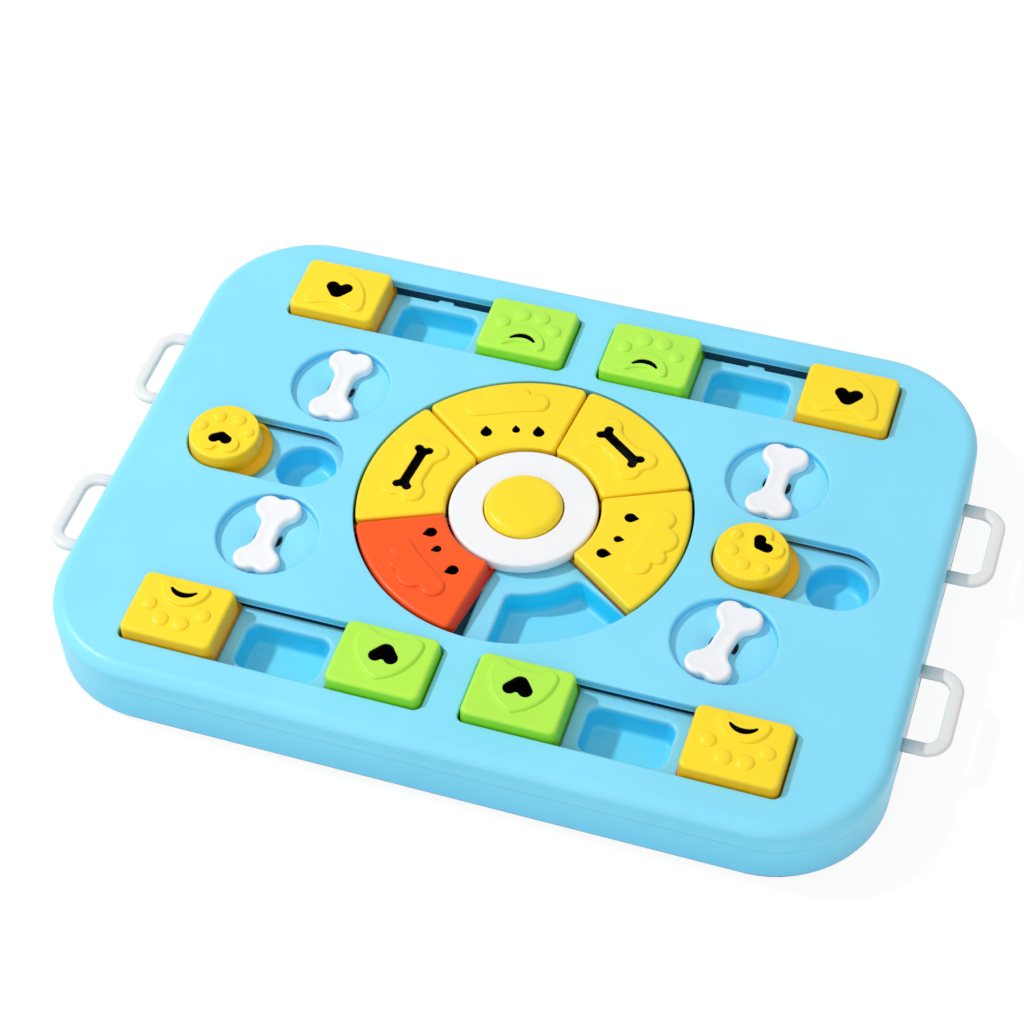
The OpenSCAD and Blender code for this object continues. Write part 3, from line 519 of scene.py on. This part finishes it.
def make_recess(shell, x, y, under):
    """One recess: its rim and fillet above, its cup below, and the openings in its floor."""
    roll, fillet, floor = 1.5, 1.0, TOP - RECESS_DEPTH
    rim = circle(x, y, RECESS_R)
    # The recess wall takes the second material, which paints shade down it.
    high, floor_edge = shell.carry(rim, [
        (roll + 3 * HOLD, TOP), *arc(roll, TOP - roll, roll, 90, 180),
        *arc(-fillet, floor + fillet, fillet, 0, -90), (-fillet - HOLD, floor),
    ], tint=1)
    cup_edge, low = shell.carry(rim, [
        (LIP - 1, floor - PLATE), (LIP - 0.4, floor - PLATE), (LIP, floor - PLATE + 0.4),
        (LIP, under), (LIP + HOLD, under),
    ])
    above, below = [], []
    for line in (circle(x, y, 2.6), *(sector(4.2, 7.2, 34, 0, 0.8).placed(x, y, turn) for turn in (0, 180))):
        first, last = shell.carry(line, [(0.4, floor), (0, floor - 0.4), (0, floor - PLATE)])
        above.append(first)
        below.append(last)
    shell.flat(floor_edge, above)
    shell.flat(cup_edge, below, up=False)
    return high, low


# ---- Inserts with the treat wells ----

def sink_well(shell, well, roof, draft, fillet, roll, skin, under):
    """Sinks a well into a deck: a rolled rim, a wall that leans in by `draft` and a filleted floor, and below them the
    cup's outside, which leans in by `under`. Returns the rings in the deck's top and in its underside."""
    floor = WELL_FLOOR
    high, floor_edge = shell.carry(well, [
        (roll + 2 * HOLD, DECK), *arc(roll, DECK - roll, roll, 90, 180),
        *arc(-draft - fillet, floor + fillet, fillet, 0, -90), (-draft - fillet - HOLD, floor),
    ])
    shell.flat(floor_edge)
    base, low = shell.carry(well, [
        (skin - under - 1, floor - SKIN), (skin - under, floor - SKIN + 1), (skin, roof), (skin + HOLD, roof),
    ])
    shell.flat(base, up=False)
    return high, low


def screw_posts(shell, posts, roof):
    """Hollow posts from the deck's underside down to the base. Returns their rings in the underside."""
    rings = []
    for x, y in posts:
        bore, low = shell.carry(circle(x, y, POST_R), [
            (-1.35, roof - 1), (-1.35, FLOOR), (0, FLOOR), (0, roof), (0.3, roof),
        ])
        shell.flat(bore, up=False)
        rings.append(low)
    return rings


def make_insert(deck_line, inner_line, wells, posts, fillet=3.0, roll=1.8, skin=SKIN):
    """An insert: a deck with a skirt down to the base, its wells and its screw posts."""
    shell = Shell()
    roof, edge, draft = DECK - SKIN, 0.8, 0.9
    inside, inner_foot = shell.carry(inner_line, [(-HOLD, roof), (0, roof), (0, FLOOR)])
    outer_foot, outside = shell.carry(deck_line, [
        (0, FLOOR), *arc(-edge, DECK - edge, edge, 0, 90, 5), (-edge - HOLD, DECK),
    ])
    shell.flat(outer_foot, [inner_foot], up=False)
    holes = [sink_well(shell, well, roof, draft, fillet, roll, skin, draft) for well in wells]
    under_holes = [low for _, low in holes] + screw_posts(shell, posts, roof)
    shell.flat(outside, [high for high, _ in holes])
    shell.flat(inside, under_holes, up=False)
    return shell


def ribbed_deck(x, y):
    """Deck of a back slot: a long rectangle with one flared rib at the middle of its back edge."""
    a, b, r = 163 / 2 - 4, 38 / 2 - 4, 4.0
    rib, flare, tip, back = 4.5, 0.8, 1.3, 38 / 2 + 2.1
    return belt([
        (x + a, y - b, r), (x + a, y + b, r),
        (x + rib + flare, y + b + r + flare, -flare), (x + rib - tip, y + back - tip, tip),
        (x - rib + tip, y + back - tip, tip), (x - rib - flare, y + b + r + flare, -flare),
        (x - a, y + b, r), (x - a, y - b, r),
    ])


def make_inserts():
    """The four straight inserts, the two oval ones and the round one under the wheel."""
    for corner, (sx, sy) in CORNERS.items():
        x, y = sx * SLOT_X, sy * SLOT_Y
        wells = [round_rect(x + i * LID_PITCH, y, 43, 27, 6) for i in (-1, 0, 1)]
        posts = [(x + i * LID_PITCH / 2, y) for i in (-1, 1)]
        inner = round_rect(x, y, 163 - 2 * SKIN, 38 - 2 * SKIN, 4 - SKIN)
        deck = ribbed_deck(x, y) if sy > 0 else round_rect(x, y + 1.2, 163, 40.4, 4)
        shell = make_insert(deck, inner, wells, posts)
        node = "insert_" + corner
        place("wells_" + corner, shell, [POCKETS], "tray", "blue_plastic", node)
    for side, sx in (("left", -1), ("right", 1)):
        x = sx * OVAL_X
        wells = [circle(x + i * OVAL_PITCH, 0, 15.5) for i in (-1, 1)]
        posts = [(x, -11.5), (x, 11.5)]
        deck, inner = oval(x, 0, OVAL_L + 6, OVAL_W + 4), oval(x, 0, OVAL_L + 2.4, OVAL_W - 5.6)
        shell = make_insert(deck, inner, wells, posts, fillet=4.0, roll=1.4, skin=0.9)
        place("wells_oval_" + side, shell, [POCKETS], "tray", "blue_plastic", "insert_oval_" + side)
    make_wheel_insert()


def make_wheel_insert():
    """Round insert: six wells between ribs, and a deeper well for the squeaker in the middle."""
    wells = [sector(48.8, 84, 30, 6.6, 4.5).placed(turn=k * 60) for k in range(6)]
    posts = [(65 * math.cos(a), 65 * math.sin(a)) for a in np.radians([90, 210, 330])]
    shell = Shell()
    roof, hub_r, hub_z = DECK - SKIN, 20.0, 12.0
    inside, outside = shell.carry(circle(0, 0, 89.5), [
        (-SKIN - HOLD, roof), (-SKIN, roof), (-SKIN, FLOOR), (0, FLOOR), (0, DECK - 0.6),
        (-0.6, DECK), (-0.6 - HOLD, DECK),
    ])
    holes = [sink_well(shell, well, roof, 1.2, 2.0, 1.8, SKIN, 1.0) for well in wells]
    hub = circle(0, 0, hub_r)
    high, floor_edge = shell.carry(hub, [(0.8, DECK), (0, DECK - 0.8), (0, hub_z + 1), (-1, hub_z)])
    shell.flat(floor_edge)
    base, low = shell.carry(hub, [
        (SKIN - 1, hub_z - SKIN), (SKIN, hub_z - SKIN + 1), (SKIN, roof), (SKIN + HOLD, roof),
    ])
    shell.flat(base, up=False)
    holes.append((high, low))
    shell.flat(outside, [high for high, _ in holes])
    shell.flat(inside, [low for _, low in holes] + screw_posts(shell, posts, roof), up=False)
    place("wells_wheel", shell, [WHEEL_WELLS], "tray", "blue_plastic", "insert_wheel")


# ---- What stands on a lid and what is cut through it ----

def raised(shell, line, z, soft=1.5, height=1.6):
    """Raises an ornament: a hollow fillet at its foot and a shoulder in the shape of a quarter of an ellipse, `soft`
    wide. Returns the ring that the lid's flat face meets and the one inside the ornament's own flat top."""
    low = 0.5
    shoulder = [(-soft * (1 - math.cos(a)), z + low + (height - low) * math.sin(a))
                for a in np.radians(np.linspace(0, 90, 8))]
    return shell.carry(line, [
        (low + HOLD, z), *arc(low, z + low, low, 270, 180, 5), *shoulder[1:], (-soft - HOLD, z + height),
    ])


def domed(shell, x, y, r, z, height):
    """Raises a round toe: an ellipse of that height turned about its axis. Returns its foot's ring."""
    angles = np.radians(np.linspace(0, 84, 9))
    profile = [(-r * (1 - math.cos(a)), z + height * math.sin(a)) for a in angles]
    foot, top = shell.carry(circle(x, y, r), [(0.4, z), (0.1, z + 0.04), *profile])
    shell.flat(top)
    return foot


def cut(shell, line, z, roof):
    """Cuts a hole from the height z down through the plate to the roof of the lid's hollow: a small round in the
    lid's colour, then a wall painted near black as shade. Returns the upper and the lower ring."""
    high, brow = shell.carry(line, [(0.5, z), *arc(0.35, z - 0.35, 0.35, 90, 180, 4), (0, z - 0.5)])
    wall = shell.ring(line.at(0), roof)
    shell.band(brow, wall, 1)
    return high, wall


def badge(shell, z, roof, figure, hole, soft=1.5, height=1.6):
    """A raised figure with a hole through it."""
    foot, inner = raised(shell, figure, z, soft, height)
    high, low = cut(shell, hole, z + height, roof)
    shell.flat(inner, [high])
    return [foot], [low]


def paw(shell, z, roof, at, toes, pad, hole, soft=0.7):
    """A paw about `at` (x, y, turn): a raised pad with a hole through it, and a row of domed toes (x, y, r)."""
    x, y, turn = at
    c, s = math.cos(math.radians(turn)), math.sin(math.radians(turn))
    feet = [domed(shell, x + c * tx - s * ty, y + s * tx + c * ty, r, z, 1.6) for tx, ty, r in toes]
    above, below = badge(shell, z, roof, pad.placed(*at), hole.placed(*at), soft)
    return feet + above, below


# ---- Lids in the straight slots ----

def make_straight_lid(node, tint, slot, ornament, turn):
    """A hollow lid: a foot that runs under the cover, leaning sides, a rounded top edge and an ornament. The body
    stands a little nearer to the slot's free place than the foot."""
    x, y = middle(node)
    taper, edge, roof = 0.5, 2.1, LID_TOP - SKIN
    free = math.copysign(0.4, math.copysign(SLOT_X, x) - x)
    body = round_rect(x + free, y, LID_L + 0.8, LID_W, LID_R)
    foot = round_rect(x, y, LID_L + 3.2, LID_W + 4.8, LID_R)
    shell = Shell()
    # The hollow's inside and its sill take the second material: painted shade, near black.
    ceiling, sill = shell.carry(body, [
        (-SKIN - taper - HOLD, roof), (-SKIN - taper, roof), (-SKIN, FOOT + 1), (-SKIN - HOLD, FOOT + 1),
    ], tint=1)
    start, top = shell.carry(body, [
        (-SKIN, FOOT), (-0.3, FOOT, foot), (0, FOOT + 0.3, foot), (0, FOOT + 2.2, foot), (-0.3, FOOT + 2.5, foot),
        (0.4, FOOT + 2.5), (0, FOOT + 3.0), *arc(-taper - edge, LID_TOP - edge, edge, 0, 90, 9),
        (-taper - edge - HOLD, LID_TOP),
    ])
    shell.flat(sill, tint=1)
    shell.flat(start, up=False)
    above, below = ornament(shell, LID_TOP, roof, (x, y, turn))
    shell.flat(top, above)
    shell.flat(ceiling, below, up=False, tint=1)
    place(node + "_moulding", shell, [tint, PAINTED_SHADE], node, slot, node)


def heart_ornament(shell, z, roof, at):
    """A wide raised heart, its point to the back, round a heart-shaped hole with its point to the front."""
    figure = heart(33.6, 28.1, 2.3, 4.5, 20.0, side_r=26.0).placed(0, -1.25, 180)
    hole = heart(14.8, 11.4, 4.2, 3.5, 1.6).placed(0, -2.4)
    return badge(shell, z, roof, figure.placed(*at), hole.placed(*at))


def paw_ornament(shell, z, roof, at):
    """Four toes over a crescent-shaped pad with a crescent-shaped hole."""
    toes = ((-14.2, 0.9, 4.0), (-5.4, 8.4, 4.5), (5.4, 8.4, 4.5), (14.2, 0.9, 4.0))
    pad = crescent(25, 11.6, 1.4, 2.4).placed(0, -12.9)
    return paw(shell, z, roof, at, toes, pad, crescent(14.2, 4.4, 1.2, 0.7).placed(0, -10.3), soft=0.9)


def make_straight_lids():
    """Eight lids: hearts and paws, yellow at the outer ends and green at the inner ones."""
    rows = {
        "heart_lid_back_left": (YELLOW, heart_ornament), "paw_lid_back_left": (GREEN, paw_ornament),
        "paw_lid_back_right": (GREEN, paw_ornament), "heart_lid_back_right": (YELLOW, heart_ornament),
        "paw_lid_front_left": (YELLOW, paw_ornament), "heart_lid_front_left": (GREEN, heart_ornament),
        "heart_lid_front_right": (GREEN, heart_ornament), "paw_lid_front_right": (YELLOW, paw_ornament),
    }
    for node, (tint, ornament) in rows.items():
        slot = "yellow_plastic" if tint is YELLOW else "green_plastic"
        make_straight_lid(node, tint, slot, ornament, 180 if "front" in node else 0)


# ---- Round lids in the oval slots ----

def make_round_lid(node, turn):
    """A round hollow lid on a wide foot, narrower towards its top, with a small paw."""
    x, y = middle(node)
    edge, roof = 1.3, LID_TOP - SKIN
    neck, top_in = circle(x, y, 19.2), 0.8
    shell = Shell()
    # The hollow's inside and its sill take the second material: painted shade, near black.
    ceiling, sill = shell.carry(neck, [
        (-3.2 - HOLD, roof), (-3.2, roof), (-SKIN, TOP), (-SKIN, FOOT + 1), (-SKIN - HOLD, FOOT + 1),
    ], tint=1)
    start, top = shell.carry(neck, [
        (-SKIN, FOOT), (4.4, FOOT), (4.8, FOOT + 0.4), (4.8, FOOT + 2.1), (4.4, FOOT + 2.5),
        *arc(1.2, FOOT + 3.9, 1.2, 270, 180, 5), (0, TOP - 1), (-0.1, TOP + 0.5),
        *arc(-top_in - edge, LID_TOP - edge, edge, 6, 90, 9), (-top_in - edge - HOLD, LID_TOP),
    ])
    shell.flat(sill, tint=1)
    shell.flat(start, up=False)
    toes = ((-12.6, 1.5, 3.3), (-5.4, 8.8, 3.8), (5.4, 8.8, 3.8), (12.6, 1.5, 3.3))
    pad = heart(21.5, 14.8, 4.6, 5.3, 1.15).placed(0, -6.9, 180)
    hole = heart(12.4, 8.0, 2.4, 3.0, 1.16).placed(0, -5.5, 180)
    above, below = paw(shell, LID_TOP, roof, (x, y, turn), toes, pad, hole)
    shell.flat(top, above)
    shell.flat(ceiling, below, up=False, tint=1)
    place(node + "_moulding", shell, [PUCK_YELLOW, PAINTED_SHADE], node, "yellow_plastic", node)


# ---- Turning lids of the wheel ----

def make_wheel_lid(node, place_no, tint, slot, ornament, shape=None):
    """A turning lid: part of a ring with a foot on both arcs, which is thinner under the white ring. The foot's
    underside and its arcs are painted near black as shade in the gaps. `shape` may lean its free side."""
    turn = FIRST_LID + place_no * LID_STEP
    edge, roof = 2.0, WHEEL_LID_TOP - SKIN
    body = sector(LID_IN, LID_OUT, LID_SPAN / 2, 0, 3.0)
    foot = sector(FOOT_IN, FOOT_OUT, LID_SPAN / 2, 0, 3.0, like=body)
    body, foot = body.placed(turn=turn), foot.placed(turn=turn)
    shell = Shell()

    def settled(line, xy, z):
        z = np.where(np.hypot(*xy.T) < LID_IN - 0.1, np.minimum(z, FOOT + UNDER_RING), z)
        return shape(line, xy, z) if shape else (xy, z)

    ceiling, sill = shell.carry(body, [
        (-SKIN - HOLD, roof), (-SKIN, roof), (-SKIN, FOOT + 1), (-SKIN - HOLD, FOOT + 1),
    ], tint=1, shape=settled)
    start, top = shell.carry(body, [
        (-SKIN, FOOT), (-0.3, FOOT, foot), (0, FOOT + 0.3, foot), (0, FOOT + 2.2, foot), (-0.3, FOOT + 2.5, foot),
        (0.3, FOOT + 2.5), (0, FOOT + 3.0), *arc(-edge, WHEEL_LID_TOP - edge, edge, 0, 90, 9),
        (-edge - HOLD, WHEEL_LID_TOP),
    ], shape=settled)
    shell.flat(sill, tint=1)
    # The foot's underside: painted shade, near black.
    shell.flat(start, up=False, tint=1)
    above, below = ornament(shell, WHEEL_LID_TOP, roof, turn)
    shell.flat(top, above)
    shell.flat(ceiling, below, up=False, tint=1)
    # Faces of the foot beyond the body's arcs: painted shade, near black.
    radii = np.hypot(*np.concatenate(shell.points)[:, :2].T)
    shell.tints = [
        1 if all(radii[face] > LID_OUT + 0.2) or all(radii[face] < LID_IN - 0.2) else old
        for face, old in zip(shell.faces, shell.tints)
    ]
    place(node + "_moulding", shell, [tint, PAINTED_SHADE], node, slot, node)


def bone_ornament(shell, z, roof, turn):
    """A raised bone across the lid, round a bone-shaped hole."""
    figure = bone(41.2, 23.4, 14.7, 7.0, 6.2, 6.0).placed(turn=90).placed(61.3, 0)
    hole = bone(30.6, 10.2, 5.2, 2.0, 2.35, 1.5).placed(turn=90).placed(62.1, 0)
    return badge(shell, z, roof, figure.placed(turn=turn), hole.placed(turn=turn))


def cloud_ornament(drops, lean, inwards=0.0):
    """A raised cloud towards the rim and three drops below it, cut through: two large ones outside a small one, at the
    places (along, aside) of the lid and all leaning the same way."""
    puffs = [(-12, 69.7, 6.1), (-5.2, 75.2, 4.5), (3.5, 73.6, 7.8), (13.9, 71.3, 6.1)]
    figure = cloud([(a, d - inwards, r) for a, d, r in puffs], 63.3 - inwards)

    def ornament(shell, z, roof, turn):
        foot, inner = raised(shell, figure.placed(turn=turn), z)
        shell.flat(inner)
        above, below = [foot], []
        for (along, aside), (length, r) in zip(drops, ((7.5, 3.0), (5.4, 2.1), (7.5, 3.0))):
            high, low = cut(shell, drop(length, r, 0.5).placed(along, aside, lean).placed(turn=turn), z, roof)
            above.append(high)
            below.append(low)
        return above, below

    return ornament


def free_side():
    """The free side of the orange lid: its foot slopes out onto the deck, and towards the rim its lower edge rises,
    which leaves a wedge open. Both moves fade out round the corners of the lid."""
    turn = math.radians(FIRST_LID + 4 * LID_STEP + LID_SPAN / 2)
    side = np.array([-math.sin(turn), math.cos(turn)])
    slope, notch_from, notch, high = 2.4, 58.6, 5.0, WHEEL_LID_TOP - 2.4

    def shape(line, xy, z):
        share = np.clip(line.normals @ side, 0, 1) ** 6
        out = slope * np.clip((high - z) / (high - FOOT), 0, 1) * share
        lift = notch * np.clip((np.hypot(*xy.T) - notch_from) / (LID_OUT - notch_from), 0, 1) * share
        return xy + out[:, None] * side, z + lift * np.clip((FOOT + 7 - z) / 7, 0, 1)

    return shape


def make_wheel_lids():
    """Four yellow lids and the orange one beside the empty place."""
    rain_right = cloud_ornament([(53.9, 12.8), (53.0, -2.4), (49.4, -13.6)], 12)
    rain_back = cloud_ornament([(52.6, 13.9), (52.0, -1.6), (48.8, -13.0)], -3)
    rain_orange = cloud_ornament([(52.8, 13.2), (51.4, -2.5), (48.0, -13.4)], -18, inwards=3.0)
    make_wheel_lid("wheel_lid_right", 0, LOW_YELLOW, "yellow_plastic", rain_right)
    make_wheel_lid("wheel_lid_back_right", 1, LOW_YELLOW, "yellow_plastic", bone_ornament)
    make_wheel_lid("wheel_lid_back", 2, LOW_YELLOW, "yellow_plastic", rain_back)
    make_wheel_lid("wheel_lid_left", 3, LOW_YELLOW, "yellow_plastic", bone_ornament)
    make_wheel_lid("wheel_lid_orange", 4, ORANGE, "orange_plastic", rain_orange, free_side())


# ---- Middle of the wheel ----

def make_centre_ring():
    """White ring: a closed profile turned about the axis, with a skirt that stands on the deck."""
    shell = Shell()
    r = 38.0
    line = circle(0, 0, r)
    edge, brow, hole = 1.6, 1.0, 20.5
    first, last = shell.carry(line, [
        (hole - r, RING_TOP - 3), (25 - r, RING_TOP - 3), (25 - r, DECK), (30.5 - r, DECK), (30.5 - r, 32.2),
        (-0.4, 32.2), (0, 32.6), *arc(-edge, RING_TOP - edge, edge, 0, 90, 8), (-edge - HOLD, RING_TOP),
        (hole + brow + HOLD - r, RING_TOP), *arc(hole + brow - r, RING_TOP - brow, brow, 90, 180, 6),
    ])
    shell.band(last, first)
    place("centre_ring_moulding", shell, [WHITE], "tray", "white_plastic", "centre_ring")


def make_push_button():
    """Yellow push button: a low dome with a wide round edge, a flange under the ring and a plunger."""
    shell = Shell()
    top, edge, r = 42.6, 4.2, 20.0
    line = circle(0, 0, r)
    plunger, cap = shell.carry(line, [
        (4 - r, 28.8), (4 - r, top - 2.2), (-edge, top - 2.2), (-2.6, top - 3.4), (-1.8, top - edge),
        (-1.8, 33.4), (24.3 - r, 33.4), (24.3 - r, 35.0), (0, 35.0), (0, 35.4),
        *arc(-edge, top - 0.3 - edge, edge, 0, 84, 10), (-9, top - 0.1), (-14, top - 0.02), (-16, top),
    ])
    shell.flat(plunger, up=False)
    shell.flat(cap)
    place("push_button_moulding", shell, [LOW_YELLOW], "push_button", "yellow_plastic", "push_button")


# ---- Bones ----

def make_bones():
    """Four bones with round edges, a top that is dished a little, and a foot set in a little."""
    turns = {"back_left": 92, "front_left": 92, "back_right": 89, "front_right": 78}
    low, top = 34.8, 40.0
    for corner, (sx, sy) in CORNERS.items():
        x, y = sx * BONE_X, sy * BONE_Y
        shell = Shell()
        line = bone(48, 24, 10.5, 9.0, 7.0, 3.4).placed(x, y, turns[corner])
        bottom, dish = shell.carry(line, [
            (-1.2, low), (-0.7, low), *arc(-0.6, low + 0.6, 0.6, -80, 0, 4), *arc(-2.0, top - 2.0, 2.0, 0, 90, 9),
            (-2.9, top - 0.06), (-3.7, top - 0.2), (-4.4, top - 0.28), (-4.4 - HOLD, top - 0.3),
        ])
        roof, bore = shell.carry(circle(x, y, 2.55), [(0, low + 3.4), (0, low)])
        shell.flat(bottom, [bore], up=False)
        shell.flat(roof, up=False)
        shell.flat(dish)
        node = "bone_" + corner
        place(node + "_moulding", shell, [WHITE], node, "white_plastic", node)


# ---- Drawers ----

def sweep(shell, path, sides, section):
    """Sweeps a closed section (u, v) along a level path: u lies along the path's sides, v is the height."""
    rings = [shell.ring(point + np.outer(section[:, 0], side), section[:, 1]) for point, side in zip(path, sides)]
    for a, b in zip(rings, rings[1:]):
        shell.band(b, a)
    shell.faces += [rings[0].tolist(), rings[-1].tolist()[::-1]]
    shell.tints += [0, 0]


def make_drawers():
    """Four drawers: an open box that slides in rails, with a loop of rounded bar as its handle."""
    front, back = TRAY_L / 2 - 0.2, BONE_X - 20.5
    low, high, width = 3.9, SEAM - 0.5, 52.0
    bar, thick, outer, reach = 7.0, 4.5, 13.0, 22.5
    for corner, (sx, sy) in CORNERS.items():
        shell = Shell()
        x, y = sx * (front + back) / 2, sy * BONE_Y
        box = round_rect(x, y, front - back, width, 2.0)
        cup = round_rect(x, y, front - back - 2 * SKIN, width - 2 * SKIN, 2.0, like=box)
        floor, base = shell.carry(box, [
            (-1.2, low), (-0.6, low), (0, low + 0.6), (0, high - 0.3), (-0.3, high), (0.3, high, cup),
            (0, high - 0.3, cup), *((d, z, cup) for d, z in arc(-1, low + SKIN + 1, 1, 0, -90, 4)),
            (-1 - HOLD, low + SKIN, cup),
        ])
        shell.flat(floor, up=False)
        shell.flat(base)
        tip, mid, r = TRAY_L / 2 + reach - bar / 2, width / 2 - bar / 2, outer - bar / 2
        bend = np.radians(np.linspace(-90, 0, 13))
        corner_x, corner_y = tip - r + r * np.cos(bend), -mid + r + r * np.sin(bend)
        half = np.column_stack([[front - 1.0, *corner_x], [-mid, *corner_y]])
        lean = np.column_stack([[0.0, *np.cos(bend)], [-1.0, *np.sin(bend)]])
        path = np.concatenate([half, half[::-1] * [1, -1]])
        sides = np.concatenate([lean, lean[::-1] * [1, -1]])
        around = np.radians(np.arange(0, 360, 15))
        section = np.column_stack([
            bar / 2 * np.sign(np.cos(around)) * np.abs(np.cos(around)) ** 0.7,
            high - thick / 2 + thick / 2 * np.sign(np.sin(around)) * np.abs(np.sin(around)) ** 0.7,
        ])
        path, sides = path * [sx, 1] + [0, y], sides * [sx, 1]
        if sx < 0:
            path, sides = path[::-1], sides[::-1]
        sweep(shell, path, sides, section)
        node = "drawer_" + corner
        place(node + "_moulding", shell, [HANDLE_WHITE], node, "white_plastic", node)


# ---- Nodes shown as they are ----

def dress_nodes():
    """Gives the nodes that stay visible their finish."""
    finishes = {
        "base_pan": BLUE, "squeaker": RUBBER, "bone_pivots": WHITE, "cover_screws": STEEL, "insert_screws": STEEL,
        "ring_screws": STEEL, "rubber_feet": FEET,
    }
    for node, finish in finishes.items():
        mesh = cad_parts[node].data
        mesh.materials.clear()
        mesh.materials.append(finish)


# ---- Floor, light and camera ----

def make_floor():
    """White floor that keeps a soft shadow: seen directly it is mostly bright, and it lights the object as paper.
    Below the tray it has no brightness of its own."""
    half, inset = 4000.0, 1.5
    shell = Shell()
    edge = shell.ring(np.array([(-half, -half), (half, -half), (half, half), (-half, half)]), 0.0)
    foot = shell.ring(round_rect(0, 0, TRAY_L, TRAY_W, CORNER_R).at(-inset), 0.0)
    shell.flat(edge, [foot])
    shell.flat(foot, tint=1)
    mesh = shell.mesh("floor")
    floor = bpy.data.objects.new("floor", mesh)
    bpy.context.scene.collection.objects.link(floor)
    material = bpy.data.materials.new("bright_paper")
    material.use_nodes = True
    nodes, links = material.node_tree.nodes, material.node_tree.links
    nodes.clear()
    out = nodes.new("ShaderNodeOutputMaterial")
    paper = nodes.new("ShaderNodeBsdfDiffuse")
    paper.inputs["Color"].default_value = (0.8, 0.8, 0.8, 1)
    seen = nodes.new("ShaderNodeBsdfDiffuse")
    seen.inputs["Color"].default_value = (0.1, 0.1, 0.1, 1)
    glow = nodes.new("ShaderNodeEmission")
    glow.inputs["Strength"].default_value = 0.905
    both = nodes.new("ShaderNodeAddShader")
    links.new(seen.outputs[0], both.inputs[0])
    links.new(glow.outputs[0], both.inputs[1])
    pick = nodes.new("ShaderNodeMixShader")
    links.new(direct_rays(nodes, links), pick.inputs[0])
    links.new(paper.outputs[0], pick.inputs[1])
    links.new(both.outputs[0], pick.inputs[2])
    links.new(pick.outputs[0], out.inputs["Surface"])
    mesh.materials.append(material)
    plain = bpy.data.materials.new("plain_paper")
    plain.use_nodes = True
    plain.node_tree.nodes["Principled BSDF"].inputs["Base Color"].default_value = (0.5, 0.5, 0.5, 1)
    mesh.materials.append(plain)


def direct_rays(nodes, links):
    """Socket that is 1 for rays that see a surface directly, in a mirror or through glass, and 0 for light."""
    path = nodes.new("ShaderNodeLightPath")
    first = nodes.new("ShaderNodeMath")
    first.operation = "MAXIMUM"
    links.new(path.outputs["Is Camera Ray"], first.inputs[0])
    links.new(path.outputs["Is Glossy Ray"], first.inputs[1])
    second = nodes.new("ShaderNodeMath")
    second.operation = "MAXIMUM"
    links.new(first.outputs[0], second.inputs[0])
    links.new(path.outputs["Is Transmission Ray"], second.inputs[1])
    return second.outputs[0]


def make_lamp(name, kind, power, size, height, side, distance):
    """A lamp that is aimed at the middle from a distance, a height above the floor and a side, both in degrees; the
    side turns from the front to the right."""
    data = bpy.data.lights.new(name, kind)
    data.energy = power
    if kind == "SUN":
        data.angle = size
    else:
        data.size = size
    lamp = bpy.data.objects.new(name, data)
    h, a = math.radians(height), math.radians(side)
    lamp.location = distance * Vector((math.cos(h) * math.sin(a), -math.cos(h) * math.cos(a), math.sin(h)))
    lamp.rotation_euler = (math.radians(90) - h, 0, a)
    bpy.context.scene.collection.objects.link(lamp)


def make_light():
    """A softbox on the left, a wide soft light from the front, and an even white room that is brighter where it is
    seen directly."""
    distance, key, room = 2.5, 1.55, 0.55
    make_lamp("softbox", "AREA", key * math.pi * distance ** 2, 0.13, 52.0, -90.0, distance)
    make_lamp("front_fill", "SUN", 0.7, math.radians(70.0), 26.0, 10.0, distance)
    world = bpy.data.worlds.new("white_room")
    bpy.context.scene.world = world
    world.use_nodes = True
    nodes, links = world.node_tree.nodes, world.node_tree.links
    nodes.clear()
    out = nodes.new("ShaderNodeOutputWorld")
    pick = nodes.new("ShaderNodeMixShader")
    links.new(direct_rays(nodes, links), pick.inputs[0])
    for socket, strength in ((1, room), (2, 1.0)):
        white = nodes.new("ShaderNodeBackground")
        white.inputs["Color"].default_value = (1, 1, 1, 1)
        white.inputs["Strength"].default_value = strength
        links.new(white.outputs[0], pick.inputs[socket])
    links.new(pick.outputs[0], out.inputs["Surface"])


def make_camera():
    """The camera, from its aim, its distance and its angles about it."""
    aim = np.array([-15.55, 25.36, 0.0]) * MM
    distance, azimuth, height, roll, lens = 1.2929, 20.06, 50.09, -2.836, 86.5
    data = bpy.data.cameras.new("camera")
    data.lens = lens
    data.sensor_width = 36.0
    camera = bpy.data.objects.new("camera", data)
    a, h = math.radians(azimuth), math.radians(height)
    back = Vector((math.sin(a) * math.cos(h), -math.cos(a) * math.cos(h), math.sin(h)))
    right = Vector((math.cos(a), math.sin(a), 0))
    up = back.cross(right)
    r = math.radians(roll)
    right, up = math.cos(r) * right + math.sin(r) * up, -math.sin(r) * right + math.cos(r) * up
    turn = Matrix((right, up, back)).transposed().to_4x4()
    turn.translation = Vector(aim) + distance * back
    camera.matrix_world = turn
    bpy.context.scene.collection.objects.link(camera)
    bpy.context.scene.camera = camera


make_top_cover()
make_inserts()
make_straight_lids()
make_round_lid("round_lid_left", 4)
make_round_lid("round_lid_right", 135)
make_wheel_lids()
make_centre_ring()
make_push_button()
make_bones()
make_drawers()
dress_nodes()
make_floor()
make_light()
make_camera()
bpy.context.scene.view_settings.view_transform = "Standard"
